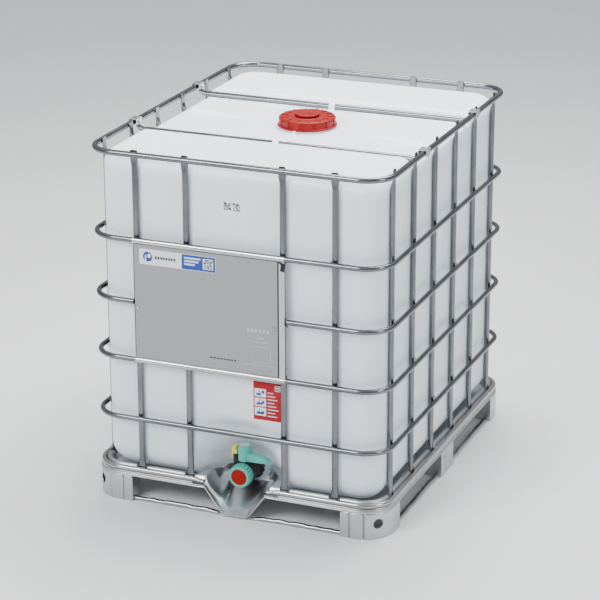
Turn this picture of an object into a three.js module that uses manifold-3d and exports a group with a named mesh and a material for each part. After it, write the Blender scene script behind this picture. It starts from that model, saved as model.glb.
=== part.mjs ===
// Intermediate bulk container, 1000 litres: a blow-moulded bottle in a welded tube cage on a steel pallet.
// Millimetres, +Z up, valve side towards -Y, origin on the floor under the middle of the pallet.
import * as THREE from 'three';
import Module from 'manifold-3d';

const wasm = await Module();
wasm.setup();

// ---- driving dimensions -------------------------------------------------------------------------
const WIDTH = 1000;
const LENGTH = 1200;
const HEIGHT = 1160;
const GAP = 0.3;

// cage
const RING_DIA = 17;
const TOP_RING_DIA = 19;
const RING_CORNER = 90;
const RING_Z = { upper: 876, middle: 676, lower: 484, valve: 283 };
const TOP_RING_Z = 1148;
const BASE_RING_Z = 108;
const CAGE_FACE = 1.5;
const POST_WIDTH = 20;
const POST_DEPTH = 16;
const TAB_WIDTH = 26;
const TAB_THICK = 4;
const POST_BOTTOM = 92;
const FRONT_POSTS = [-328, -159.5, 159.5, 328];
const SIDE_POSTS = [-478, -289, -97.5, 97.5, 289, 478];

// crossbars and their clips
const BAR_Y = 240;
const BAR_DIA = 20;
const BAR_Z = 1124;
const CLIP_WIDTH = 40;
const CLIP_THICK = 2.2;
const SCREW_RADIUS = 5.5;
const SCREW_HIGH = 6;
const RETAINER_WIDTH = 20;
const RETAINER_THICK = 4;

// label plate
const PLATE_LEFT = -332;
const PLATE_RIGHT = 173;
const PLATE_THICK = 2;
const PLATE_FACE_INSET = 8;
const PLATE_HOOK = 0.75 * Math.PI;
const FLANGE_DEEP = 15;

// bottle
const BOTTLE_X = 464;
const BOTTLE_Y = 564;
const BOTTLE_BOTTOM = 91.5;
const BOTTLE_TOP = 1138;
const BOTTLE_CORNER = 72;
const BOTTOM_FILLET = 80;
const TOP_FILLET = 42;
const WALL = 4;
const DECK_Z = 1118;
const DECK_HALF = 205;
const GROOVE_FLOOR = 1110;
const NECK_OUTER = 79;
const NECK_INNER = 72;
const NECK_TOP = 1138;
const STOP_X = 8;
const STOP_Y = -118;
const STOP_HIGH = 16;

// lid
const LID_Y = 15;
const LID_RADIUS = 92;
const LID_LIP = 96;
const LID_RIBS = 14;
const LID_BOTTOM = 1121;
const LID_TOP = 1151;
const GASKET_THICK = 3;
const PLUG_RADIUS = 40;
const PLUG_TOP = 1160;
const PLUG_THREAD = 29.5;

// outlet valve, its axis runs along Y
const VALVE_Z = 124;
const BORE = 25;
const OUTLET_OUTER = 31;
const OUTLET_END = -458;
const NUT_RADIUS = 44;
const NUT_START = -450;
const NUT_END = -477;
const BODY_RADIUS = 33;
const BODY_END = -554;
const STEM_Y = -513;
const STEM_RADIUS = 6;
const HUB_RADIUS = 21;
const HUB_BOTTOM = 165;
const HUB_TOP = 218;
const LEVER_REACH = 84;
const LATCH_SEAT = 176;
const CAP_RADIUS = 38.5;
const CAP_FACE = -563;
const CAP_BACK = -530;
const CAP_WINDOW = 26.3;

// pallet
const FOOT_CORNER = 100;
const TRAY_FLOOR = 88;
const SHEET = 3;
const FOOT_TOP = 85.7;
const FOOT_REACH_X = 354;
const FOOT_REACH_Y = 457;
const FOOT_RETURN = 55;
const CENTRE_FOOT_HALF = 58;
const FOOT_HOLE = 13.5;
const FOOT_HOLE_Z = 50;
const CREASES_X = [374, 392];
const CREASE_DEEP = 2;
const RUNNER_INSET = 17;
const RUNNER_WIDTH = 16;
const RUNNER_HIGH = 14;
const RUNNER_OPEN = 62;
const CHUTE_MOUTH = 107;
const CHUTE_BACK = -440;
const CHUTE_SHOULDER = 114;
const CRIMP_LONG = 30;
const CRIMP_FROM = -0.2;
const CRIMP_TO = 1.1 * Math.PI;
const NOTCH_OUTER = 18;
const NOTCH_INNER = 46;
const NOTCH_HALF = 16;

// ---- building blocks ----------------------------------------------------------------------------
const point = (x, y, z) => new THREE.Vector3(x, y, z);
const lerp = THREE.MathUtils.lerp;

function volume(positions, index) {
  const a = new THREE.Vector3();
  const b = new THREE.Vector3();
  const c = new THREE.Vector3();
  let total = 0;
  for (let i = 0; i < index.length; i += 3) {
    a.fromArray(positions, 3 * index[i]);
    b.fromArray(positions, 3 * index[i + 1]);
    c.fromArray(positions, 3 * index[i + 2]);
    total += a.dot(b.cross(c)) / 6;
  }
  return total;
}

// a geometry from raw triangles, turned to face outwards
function closedGeometry(positions, index) {
  if (volume(positions, index) < 0) {
    for (let i = 0; i < index.length; i += 3) {
      [index[i + 1], index[i + 2]] = [index[i + 2], index[i + 1]];
    }
  }
  const geometry = new THREE.BufferGeometry();
  geometry.setAttribute('position', new THREE.Float32BufferAttribute(positions, 3));
  geometry.setIndex(index);
  return geometry;
}

// a lid over a loop: a fan from its centre
function fanLid(loop, offset, positions) {
  const centre = new THREE.Vector3();
  for (const p of loop) centre.addScaledVector(p, 1 / loop.length);
  const hub = positions.length / 3;
  positions.push(centre.x, centre.y, centre.z);
  return loop.map((_, j) => [hub, offset + j, offset + (j + 1) % loop.length]);
}

// a lid over the thin loop around a sheet's edge: its first half runs along one face, its second half back
function sheetLid(loop, offset) {
  const last = loop.length - 1;
  const faces = [];
  for (let i = 0; i < loop.length / 2 - 1; i += 1) {
    faces.push([offset + i, offset + i + 1, offset + last - i - 1]);
    faces.push([offset + i, offset + last - i - 1, offset + last - i]);
  }
  return faces;
}

// the skin through a row of loops of the same number of points; an open row gets a lid at both ends
function skin(loops, closed = false, lid = fanLid) {
  const n = loops[0].length;
  const positions = [];
  const index = [];
  for (const loop of loops) {
    for (const p of loop) positions.push(p.x, p.y, p.z);
  }
  const rows = closed ? loops.length : loops.length - 1;
  for (let i = 0; i < rows; i += 1) {
    const here = i * n;
    const next = ((i + 1) % loops.length) * n;
    for (let j = 0; j < n; j += 1) {
      const k = (j + 1) % n;
      index.push(here + j, here + k, next + k);
      index.push(here + j, next + k, next + j);
    }
  }
  if (!closed) {
    const last = loops.length - 1;
    for (const [a, b, c] of lid(loops[0], 0, positions)) index.push(a, c, b);
    for (const face of lid(loops[last], last * n, positions)) index.push(...face);
  }
  return closedGeometry(positions, index);
}

// an outline in the plane, pulled along Z
function prism(outline, z0, z1) {
  const shape = new THREE.Shape(outline.map(([x, y]) => new THREE.Vector2(x, y)));
  const geometry = new THREE.ExtrudeGeometry(shape, { depth: z1 - z0, bevelEnabled: false, steps: 1 });
  return geometry.translate(0, 0, z0);
}

// an outline given as (Y, Z), pulled along X
function prismX(outline, x0, x1) {
  const turn = new THREE.Matrix4().makeBasis(point(0, 1, 0), point(0, 0, 1), point(1, 0, 0));
  return prism(outline, x0, x1).applyMatrix4(turn);
}

// an outline given as (X, Z), pulled along Y
function prismY(outline, y0, y1) {
  const turn = new THREE.Matrix4().makeBasis(point(1, 0, 0), point(0, 0, 1), point(0, -1, 0));
  return prism(outline, -y1, -y0).applyMatrix4(turn);
}

const outward = (geometry) =>
  closedGeometry(Array.from(geometry.getAttribute('position').array), Array.from(geometry.index.array));

// a profile given as (radius, height), turned about Z
function turned(profile, segments = 32) {
  const points = profile.map(([r, z]) => new THREE.Vector2(r, z));
  return outward(new THREE.LatheGeometry(points, segments).rotateX(Math.PI / 2));
}

// the same, turned about the outlet's axis: the profile is (radius, Y)
function turnedOnOutlet(profile, segments = 32) {
  const points = profile.map(([r, y]) => new THREE.Vector2(r, y));
  return outward(new THREE.LatheGeometry(points, segments).translate(0, 0, VALVE_Z));
}

const rod = (r, z0, z1, segments) => turned([[0, z0], [r, z0], [r, z1], [0, z1]], segments);
const outletRod = (r, y0, y1, segments) => turnedOnOutlet([[0, y0], [r, y0], [r, y1], [0, y1]], segments);

function box(x0, x1, y0, y1, z0, z1) {
  const geometry = new THREE.BoxGeometry(x1 - x0, y1 - y0, z1 - z0);
  return geometry.translate((x0 + x1) / 2, (y0 + y1) / 2, (z0 + z1) / 2);
}

// ---- booleans -----------------------------------------------------------------------------------
function toSolid(geometry) {
  const source = geometry.getAttribute('position');
  const order = geometry.index ? geometry.index.array : null;
  const count = order ? order.length : source.count;
  const seen = new Map();
  const vertices = [];
  const corner = [];
  for (let i = 0; i < count; i += 1) {
    const at = order ? order[i] : i;
    const xyz = [source.getX(at), source.getY(at), source.getZ(at)];
    const key = xyz.map((value) => Math.round(value * 1000)).join(' ');
    if (!seen.has(key)) {
      seen.set(key, vertices.length / 3);
      vertices.push(...xyz);
    }
    corner.push(seen.get(key));
  }
  const triangles = [];
  for (let i = 0; i < corner.length; i += 3) {
    const [a, b, c] = corner.slice(i, i + 3);
    if (a !== b && b !== c && a !== c) triangles.push(a, b, c);
  }
  const mesh = new wasm.Mesh({
    numProp: 3,
    vertProperties: Float32Array.from(vertices),
    triVerts: Uint32Array.from(triangles),
  });
  return new wasm.Manifold(mesh);
}

function fromSolid(solid) {
  const mesh = solid.getMesh();
  const geometry = new THREE.BufferGeometry();
  const stride = mesh.numProp;
  const positions = [];
  for (let i = 0; i < mesh.vertProperties.length; i += stride) {
    positions.push(mesh.vertProperties[i], mesh.vertProperties[i + 1], mesh.vertProperties[i + 2]);
  }
  geometry.setAttribute('position', new THREE.Float32BufferAttribute(positions, 3));
  geometry.setIndex(Array.from(mesh.triVerts));
  return geometry;
}

const join = (...parts) => fromSolid(parts.map(toSolid).reduce((a, b) => a.add(b)));

function cut(base, ...tools) {
  return fromSolid(tools.map(toSolid).reduce((a, b) => a.subtract(b), toSolid(base)));
}

const toIndexed = (geometry) => fromSolid(toSolid(geometry));

function mirrorX(geometry) {
  const source = geometry.getAttribute('position');
  const positions = [];
  for (let i = 0; i < source.count; i += 1) positions.push(-source.getX(i), source.getY(i), source.getZ(i));
  return closedGeometry(positions, Array.from(geometry.index.array));
}

const mirrorY = (geometry) => mirrorX(geometry.clone().rotateZ(Math.PI));

// ---- plans and sections -------------------------------------------------------------------------
const CORNER_STEPS = 6;

// a rounded rectangle, anticlockwise from the front edge's right end, with its outward normals
function roundedPath(hx, hy, r, steps = CORNER_STEPS) {
  const path = [];
  const corners = [[1, -1, -90], [1, 1, 0], [-1, 1, 90], [-1, -1, 180]];
  for (const [sx, sy, from] of corners) {
    for (let i = 0; i <= steps; i += 1) {
      const angle = THREE.MathUtils.degToRad(from + (90 * i) / steps);
      const nx = Math.cos(angle);
      const ny = Math.sin(angle);
      path.push({ x: sx * (hx - r) + r * nx, y: sy * (hy - r) + r * ny, nx, ny });
    }
  }
  return path;
}

// the same path opened on the front side, from x = right around to x = left
function openPath(hx, hy, r, right, left) {
  const front = { nx: 0, ny: -1, y: -hy };
  return [{ ...front, x: right }, ...roundedPath(hx, hy, r), { ...front, x: left }];
}

// a section of (outward, up) offsets carried along a level path
function sweep(path, section, z, closed) {
  const place = (p) => ([out, up]) => point(p.x + p.nx * out, p.y + p.ny * out, z + up);
  return skin(path.map((p) => section.map(place(p))), closed);
}

function ellipse(a, b, n) {
  return Array.from({ length: n }, (_, i) => {
    const angle = (2 * Math.PI * (i + 0.5)) / n;
    return [a * Math.cos(angle), b * Math.sin(angle)];
  });
}

const levelLoop = (hx, hy, r, z) => roundedPath(hx, hy, r).map((p) => point(p.x, p.y, z));

// a block with rounded upright edges and filleted top and bottom edges
function roundedBlock(hx, hy, corner, z0, z1, lowFillet, highFillet) {
  const steps = 4;
  const filletLoop = (fillet, i, level) => {
    const angle = (Math.PI / 2) * (i / steps);
    const inset = fillet * (1 - Math.sin(angle));
    return levelLoop(hx - inset, hy - inset, corner - inset * 0.6, level(fillet * (1 - Math.cos(angle))));
  };
  const loops = [];
  for (let i = 0; i <= steps; i += 1) loops.push(filletLoop(lowFillet, i, (rise) => z0 + rise));
  for (let i = steps; i >= 0; i -= 1) loops.push(filletLoop(highFillet, i, (drop) => z1 - drop));
  return skin(loops);
}

// ---- the object ---------------------------------------------------------------------------------
const container = new THREE.Group();
container.name = 'intermediate_bulk_container';

const FINISH = {
  galvanised: [0x9aa0a3, 0.9, 0.4],
  sheet: [0xb4b7b8, 0.85, 0.45],
  plate: [0xa2a4a8, 0.7, 0.5],
  bottle: [0xdfe5e8, 0, 0.45],
  red: [0xc83232, 0, 0.4],
  signal: [0xa5281e, 0, 0.4],
  turquoise: [0x82c8be, 0, 0.4],
  black: [0x2d282a, 0, 0.5],
  yellow: [0xe1d75a, 0, 0.45],
  rubber: [0x202020, 0, 0.8],
};

function part(name, geometry, finish) {
  const [color, metalness, roughness] = FINISH[finish];
  const mesh = new THREE.Mesh(geometry, new THREE.MeshStandardMaterial({ color, metalness, roughness }));
  mesh.name = name;
  container.add(mesh);
}

// cage rings, all outside the posts
const ringX = WIDTH / 2 - CAGE_FACE - RING_DIA / 2;
const ringY = LENGTH / 2 - CAGE_FACE - RING_DIA / 2;
const topRingX = WIDTH / 2 - CAGE_FACE - TOP_RING_DIA / 2;
const topRingY = LENGTH / 2 - CAGE_FACE - TOP_RING_DIA / 2;
const ringSection = ellipse(RING_DIA / 2, RING_DIA / 2, 10);
const ringPath = roundedPath(ringX, ringY, RING_CORNER);
const topSection = ellipse(TOP_RING_DIA / 2, TOP_RING_DIA / 2, 10);

const topPath = roundedPath(topRingX, topRingY, RING_CORNER);
part('cage_ring_top', sweep(topPath, topSection, TOP_RING_Z, true), 'galvanised');
for (const level of ['upper', 'lower', 'valve']) {
  part(`cage_ring_${level}`, sweep(ringPath, ringSection, RING_Z[level], true), 'galvanised');
}
const middlePath = openPath(ringX, ringY, RING_CORNER, PLATE_RIGHT + 6, PLATE_LEFT - 2);
part('cage_ring_middle', sweep(middlePath, ringSection, RING_Z.middle, false), 'galvanised');
const basePath = openPath(ringX, ringY, RING_CORNER, CHUTE_MOUTH, -CHUTE_MOUTH);
part('cage_ring_base', sweep(basePath, ringSection, BASE_RING_Z, false), 'galvanised');

// cage posts: oval tubes whose ends are pressed flat against the top and base rings
const postFace = CAGE_FACE + RING_DIA + GAP;
const topTabFace = CAGE_FACE + TOP_RING_DIA + GAP;
const FLAT_BELOW_TOP_RING = 20;
const FLAT_ABOVE_BASE_RING = 10;
const POST_TAPER = 25;
const lowTabEnd = BASE_RING_Z + FLAT_ABOVE_BASE_RING;
const highTabEnd = TOP_RING_Z - FLAT_BELOW_TOP_RING;
const postStations = [
  [POST_BOTTOM, TAB_WIDTH, TAB_THICK, postFace],
  [lowTabEnd, TAB_WIDTH, TAB_THICK, postFace],
  [lowTabEnd + POST_TAPER, POST_WIDTH, POST_DEPTH, postFace],
  [highTabEnd - POST_TAPER, POST_WIDTH, POST_DEPTH, postFace],
  [highTabEnd, TAB_WIDTH, TAB_THICK, topTabFace],
  [HEIGHT, TAB_WIDTH, TAB_THICK, topTabFace],
];

// (wall) is the outward direction, (along) runs sideways on that wall
function post(wall, along, edge, place) {
  const loops = postStations.map(([z, width, depth, face]) =>
    ellipse(width / 2, depth / 2, 10).map(([across, out]) => {
      const distance = edge - face - depth / 2 + out;
      return point(0, 0, z).addScaledVector(wall, distance).addScaledVector(along, place + across);
    }));
  return skin(loops);
}

const POST_WALLS = [
  ['front', point(0, -1, 0), point(1, 0, 0), LENGTH / 2, FRONT_POSTS],
  ['rear', point(0, 1, 0), point(1, 0, 0), LENGTH / 2, FRONT_POSTS],
  ['left', point(-1, 0, 0), point(0, 1, 0), WIDTH / 2, SIDE_POSTS],
  ['right', point(1, 0, 0), point(0, 1, 0), WIDTH / 2, SIDE_POSTS],
];
for (const [side, wall, along, edge, places] of POST_WALLS) {
  places.forEach((place, i) => {
    part(`cage_post_${side}_${i + 1}`, post(wall, along, edge, place), 'galvanised');
  });
}

// crossbars: round tubes whose ends are pressed flat and turned up inside the top ring
const tabX = topRingX - TOP_RING_DIA / 2 - GAP - TAB_THICK / 2;
const BAR_TAB_TOP = HEIGHT - 11;
const BAR_TAB_LOW = TOP_RING_Z - 12;
// each station: X, Z, lean of the flat from upright, thickness
const BAR_STATIONS = [
  [tabX, BAR_TAB_TOP, 0, TAB_THICK],
  [tabX, BAR_TAB_LOW, 0, TAB_THICK],
  [tabX - 5, BAR_Z + 7, 0.6, TAB_THICK + 3],
  [tabX - 17, BAR_Z + 1.5, 1.2, BAR_DIA - 8],
  [tabX - 34, BAR_Z, Math.PI / 2, BAR_DIA],
];

function crossbar(y) {
  const right = BAR_STATIONS.map(([x, z, lean, thick]) => {
    const width = thick === BAR_DIA ? BAR_DIA : BAR_DIA + 6;
    return ellipse(width / 2, thick / 2, 10).map(([across, out]) =>
      point(x + out * Math.cos(lean), y + across, z - out * Math.sin(lean)));
  });
  const left = right.map((loop) => loop.map((p) => point(-p.x, p.y, p.z)));
  return skin([...right, ...left.reverse()]);
}

// clips: a strap over the top ring with a hexagon screw through the bar's tab
function clip(y, side) {
  const inner = tabX - TAB_THICK / 2 - GAP;
  const innerLow = TOP_RING_Z - 8;
  const outerLow = TOP_RING_Z - 12;
  const over = HEIGHT - CLIP_THICK;
  const outerLeg = WIDTH / 2 - CAGE_FACE + GAP;
  const outline = [
    [inner - CLIP_THICK, innerLow], [inner, innerLow], [inner, over], [outerLeg, over],
    [outerLeg, outerLow], [WIDTH / 2, outerLow], [WIDTH / 2, HEIGHT], [inner - CLIP_THICK, HEIGHT],
  ];
  const strap = prismY(outline, y - CLIP_WIDTH / 2, y + CLIP_WIDTH / 2);
  const sunk = 0.5;
  const screw = rod(SCREW_RADIUS, 0, SCREW_HIGH, 6).rotateY(-Math.PI / 2)
    .translate(inner - CLIP_THICK + sunk, y, TOP_RING_Z);
  const whole = join(strap, screw);
  return side > 0 ? whole : mirrorX(whole);
}

// retainers: arches that hold each bar down in its groove
function retainer(y) {
  const inner = BAR_DIA / 2 + 0.5;
  const outer = inner + RETAINER_THICK;
  const foot = GROOVE_FLOOR + GAP;
  const steps = 8;
  const outline = [[y + outer, foot]];
  for (let i = 0; i <= steps; i += 1) {
    const angle = (Math.PI * i) / steps;
    outline.push([y + outer * Math.cos(angle), BAR_Z + outer * Math.sin(angle)]);
  }
  outline.push([y - outer, foot], [y - inner, foot]);
  for (let i = steps; i >= 0; i -= 1) {
    const angle = (Math.PI * i) / steps;
    outline.push([y + inner * Math.cos(angle), BAR_Z + inner * Math.sin(angle)]);
  }
  outline.push([y + inner, foot]);
  return prismX(outline, -RETAINER_WIDTH / 2, RETAINER_WIDTH / 2);
}

for (const [end, y] of [['front', -BAR_Y], ['rear', BAR_Y]]) {
  part(`crossbar_${end}`, crossbar(y), 'galvanised');
  part(`crossbar_clip_${end}_right`, clip(y, 1), 'galvanised');
  part(`crossbar_clip_${end}_left`, clip(y, -1), 'galvanised');
  part(`crossbar_retainer_${end}`, retainer(y), 'bottle');
}

// label plate: a sheet whose top and bottom edges roll around two rings, with a flange along its right edge
function labelPlate() {
  const clear = RING_DIA / 2 + GAP;
  const skinOut = LENGTH / 2 - ringY;
  const face = -LENGTH / 2 + PLATE_FACE_INSET;
  const steps = 8;
  const hook = (z, turn) => {
    const start = Math.asin(-(face + PLATE_THICK + ringY) / skinOut);
    const outer = [];
    const inner = [];
    for (let i = 0; i <= steps; i += 1) {
      const angle = lerp(start, PLATE_HOOK, i / steps);
      const y = -Math.sin(angle);
      const up = -Math.cos(angle) * turn;
      outer.push([-ringY + skinOut * y, z + skinOut * up]);
      inner.push([-ringY + clear * y, z + clear * up]);
    }
    return { outer, inner };
  };
  const top = hook(RING_Z.upper, 1);
  const bottom = hook(RING_Z.lower, -1);
  const outline = [
    ...bottom.outer.slice(1).reverse(),
    [face, bottom.outer[1][1] + 4], [face, top.outer[1][1] - 4],
    ...top.outer.slice(1), ...top.inner.slice(1).reverse(),
    [face + PLATE_THICK, top.inner[0][1] - 3], [face + PLATE_THICK, bottom.inner[0][1] + 3],
    ...bottom.inner.slice(1),
  ];
  const sheet = prismX(outline, PLATE_LEFT, PLATE_RIGHT);
  const low = RING_Z.lower + 16;
  const high = RING_Z.upper - 16;
  const flange = box(PLATE_RIGHT - PLATE_THICK, PLATE_RIGHT, face + 0.5, face + FLANGE_DEEP, low, high);
  return join(sheet, flange);
}
part('label_plate', labelPlate(), 'plate');

// half the width of the chute's opening in the pallet at a distance along Y
const CHUTE_PLAN = [[-600, 146], [-572, 144], [-520, 126], [-475, 98], [CHUTE_BACK, 62]];

function chuteHalf(y) {
  const i = Math.max(1, CHUTE_PLAN.findIndex(([at]) => at >= y));
  const [y0, w0] = CHUTE_PLAN[i - 1];
  const [y1, w1] = CHUTE_PLAN[i];
  return lerp(w0, w1, (y - y0) / (y1 - y0));
}

// ---- bottle -------------------------------------------------------------------------------------
// the recess behind the valve follows the chute's plan at the floor and leans out to the wall above it;
// (grow) widens it for the cavity side of the wall
const RECESS_BACK = -424;
const RECESS_STATIONS = [[BOTTLE_BOTTOM - 30, 0], [VALVE_Z + 34, 0.05], [332, 0.97]];

function outletRecess(grow) {
  const steps = 7;
  const right = [[chuteHalf(-BOTTLE_Y) + 8, -BOTTLE_Y - 40, 0]];
  for (let i = 0; i <= steps; i += 1) {
    const y = lerp(-BOTTLE_Y, CHUTE_BACK + 7, i / steps);
    right.push([chuteHalf(Math.min(y, CHUTE_BACK)) + 8, y, 1]);
  }
  right.push([44, RECESS_BACK, 1]);
  const left = right.map(([x, y, slides]) => [-x, y, slides]).reverse();
  return skin(RECESS_STATIONS.map(([z, lean]) =>
    [...right, ...left].map(([x, y, slides]) => {
      const across = x * (1 - 0.42 * lean) + Math.sign(x) * grow;
      const depth = slides ? lerp(y, -BOTTLE_Y - 6, lean) + grow : y;
      return point(across, depth, lean > 0.5 ? z + grow : z);
    })));
}

// everything that is sunk into the bottle's top: the lower middle deck and the two bar grooves
function topCuts(grow) {
  const high = BOTTLE_TOP + 30;
  const deck = [
    [-DECK_HALF - 10 - grow, high], [-DECK_HALF - grow, DECK_Z - grow],
    [DECK_HALF + grow, DECK_Z - grow], [DECK_HALF + 10 + grow, high],
  ];
  const cuts = [prismX(deck, -WIDTH / 2, WIDTH / 2)];
  for (const y of [-BAR_Y, BAR_Y]) {
    const groove = [
      [y - 42 - grow, high], [y - 21 - grow, GROOVE_FLOOR - grow],
      [y + 21 + grow, GROOVE_FLOOR - grow], [y + 42 + grow, high],
    ];
    cuts.push(prismX(groove, -WIDTH / 2, WIDTH / 2));
  }
  return cuts;
}

function bottle() {
  const block = roundedBlock(
    BOTTLE_X, BOTTLE_Y, BOTTLE_CORNER, BOTTLE_BOTTOM, BOTTLE_TOP, BOTTOM_FILLET, TOP_FILLET,
  );
  const outer = cut(block, outletRecess(0), ...topCuts(0));
  const hollow = roundedBlock(
    BOTTLE_X - WALL, BOTTLE_Y - WALL, BOTTLE_CORNER - WALL,
    BOTTLE_BOTTOM + WALL, BOTTLE_TOP - WALL, BOTTOM_FILLET - WALL, TOP_FILLET - WALL,
  );
  const cavity = cut(hollow, outletRecess(WALL), ...topCuts(WALL));
  const neck = rod(NECK_OUTER, DECK_Z - 3, NECK_TOP, 40).translate(0, LID_Y, 0);
  const mouth = rod(NECK_INNER, DECK_Z - 12, NECK_TOP + 5, 40).translate(0, LID_Y, 0);
  const stop = box(STOP_X - 4, STOP_X + 4, STOP_Y - 5, STOP_Y + 5, DECK_Z - 2, DECK_Z + STOP_HIGH);
  const outlet = outletRod(OUTLET_OUTER, OUTLET_END, RECESS_BACK + 2, 32);
  const bore = outletRod(BORE, OUTLET_END - 5, RECESS_BACK + 20, 32);
  const shell = cut(join(outer, neck, stop, outlet), cavity);
  return cut(shell, mouth, bore);
}
part('bottle', bottle(), 'bottle');

// ---- pallet -------------------------------------------------------------------------------------
// the tray is one pressed sheet: a floor, a raised bead inside the posts that is notched for each post, a
// ledge under the base ring and a turned outer edge; both faces are given as (inset from the edge, height)
const TRAY_UNDER = [
  [60, 88], [42, 88], [36.5, 111], [32.5, 115.5], [27, 115.5], [22.2, 111.5], [22.2, 96], [3, 96], [3, 86],
];
const TRAY_UPPER = [
  [0, 86], [0, 99], [19.2, 99], [19.2, 113], [25, 118.5], [34, 118.5], [39.5, 112], [45, 91], [60, 91],
];

function tray() {
  const loops = [...TRAY_UNDER, ...TRAY_UPPER].map(([inset, z]) =>
    levelLoop(WIDTH / 2 - inset, LENGTH / 2 - inset, FOOT_CORNER - inset, z));
  const opening = [[chuteHalf(-LENGTH / 2) + GAP, -LENGTH / 2 - 10]];
  for (const [y] of CHUTE_PLAN) opening.push([chuteHalf(y) + GAP, y === CHUTE_BACK ? y + GAP : y]);
  const mirrored = opening.map(([x, y]) => [-x, y]).reverse();
  const above = HEIGHT;
  const mouth = prism([...opening, ...mirrored], 0, above);
  const notches = [];
  for (const [, wall, along, edge, places] of POST_WALLS) {
    for (const place of places) {
      const [near, far] = [edge - NOTCH_OUTER, edge - NOTCH_INNER];
      const a = wall.clone().multiplyScalar(near).addScaledVector(along, place - NOTCH_HALF);
      const b = wall.clone().multiplyScalar(far).addScaledVector(along, place + NOTCH_HALF);
      const [x0, x1] = [Math.min(a.x, b.x), Math.max(a.x, b.x)];
      const [y0, y1] = [Math.min(a.y, b.y), Math.max(a.y, b.y)];
      notches.push(box(x0, x1, y0, y1, TRAY_FLOOR + SHEET + GAP, above));
    }
  }
  return cut(skin(loops), mouth, ...notches);
}
part('pallet_tray', tray(), 'sheet');

// the drip chute: a drawn sheet that falls from the tray to a spout near the floor, open to the front
const CHUTE_ROWS = [-600, -585, -572, -550, -520, -490, -466, -450, CHUTE_BACK];
const CHUTE_COLUMNS = 18;

function chuteHeight(x, y) {
  const back = (y + LENGTH / 2) / (CHUTE_BACK + LENGTH / 2);
  const valley = y === CHUTE_BACK ? TRAY_FLOOR : lerp(0, 68, Math.min(1, back * 1.15));
  const front = y <= -585;
  const shoulder = front ? TRAY_FLOOR + 5 : CHUTE_SHOULDER;
  const floorHalf = lerp(42, 52, back);
  const wallTop = Math.min(lerp(CHUTE_MOUTH, 118, back), chuteHalf(y) - 2);
  const t = THREE.MathUtils.clamp((Math.abs(x) - floorHalf) / (wallTop - floorHalf), 0, 1);
  return valley + (Math.max(shoulder, valley) - valley) * t;
}

function chute() {
  const lower = [];
  const upper = [];
  for (const y of CHUTE_ROWS) {
    const half = chuteHalf(y);
    const low = [];
    for (let i = 0; i <= CHUTE_COLUMNS; i += 1) {
      const x = lerp(-half, half, i / CHUTE_COLUMNS);
      low.push(point(x, y, chuteHeight(x, y)));
    }
    lower.push(low);
    upper.push(low.map((p) => point(p.x, p.y, p.z + SHEET)).reverse());
  }
  return skin(lower.map((low, i) => [...low, ...upper[i]]), false, sheetLid);
}
part('drip_chute', chute(), 'sheet');

// crimps: open sleeves folded over the base ring's ends beside the chute
function crimp(side) {
  const steps = 12;
  const arc = (radius) => Array.from({ length: steps + 1 }, (_, i) => {
    const angle = lerp(CRIMP_FROM, CRIMP_TO, i / steps);
    return [-ringY + radius * Math.cos(angle), BASE_RING_Z + radius * Math.sin(angle)];
  });
  const outline = [...arc(LENGTH / 2 - ringY), ...arc(RING_DIA / 2 + GAP).reverse()];
  const sleeve = prismX(outline, CHUTE_MOUTH + 2, CHUTE_MOUTH + 2 + CRIMP_LONG);
  return side > 0 ? sleeve : mirrorX(toIndexed(sleeve));
}
part('rim_crimp_right', crimp(1), 'sheet');
part('rim_crimp_left', crimp(-1), 'sheet');

// runner: a squashed tube around the foot line, open where the chute comes down
const runnerX = WIDTH / 2 - RUNNER_INSET;
const runnerY = LENGTH / 2 - RUNNER_INSET;
const runnerPath = openPath(runnerX, runnerY, FOOT_CORNER - RUNNER_INSET, RUNNER_OPEN, -RUNNER_OPEN);
const runnerShape = (grow) => ellipse(RUNNER_WIDTH / 2 + grow, RUNNER_HIGH / 2 + grow, 10);
part('runner', sweep(runnerPath, runnerShape(0), RUNNER_HIGH / 2, false), 'galvanised');

const footSection = [[0, 0], [0, FOOT_TOP], [-SHEET, FOOT_TOP], [-SHEET, 0]];

// a path through corner points, with normals lengthened at the corners so that a sheet keeps its thickness
function mitred(points) {
  return points.map(([x, y], i) => {
    const normals = [];
    if (i > 0) normals.push(edgeNormal(points[i - 1], points[i]));
    if (i < points.length - 1) normals.push(edgeNormal(points[i], points[i + 1]));
    const sum = normals.reduce((a, b) => [a[0] + b[0], a[1] + b[1]]);
    const scale = normals.length / (sum[0] ** 2 + sum[1] ** 2);
    return { x, y, nx: sum[0] * scale, ny: sum[1] * scale };
  });
}

function edgeNormal([x0, y0], [x1, y1]) {
  const length = Math.hypot(x1 - x0, y1 - y0);
  return [(y1 - y0) / length, -(x1 - x0) / length];
}

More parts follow.
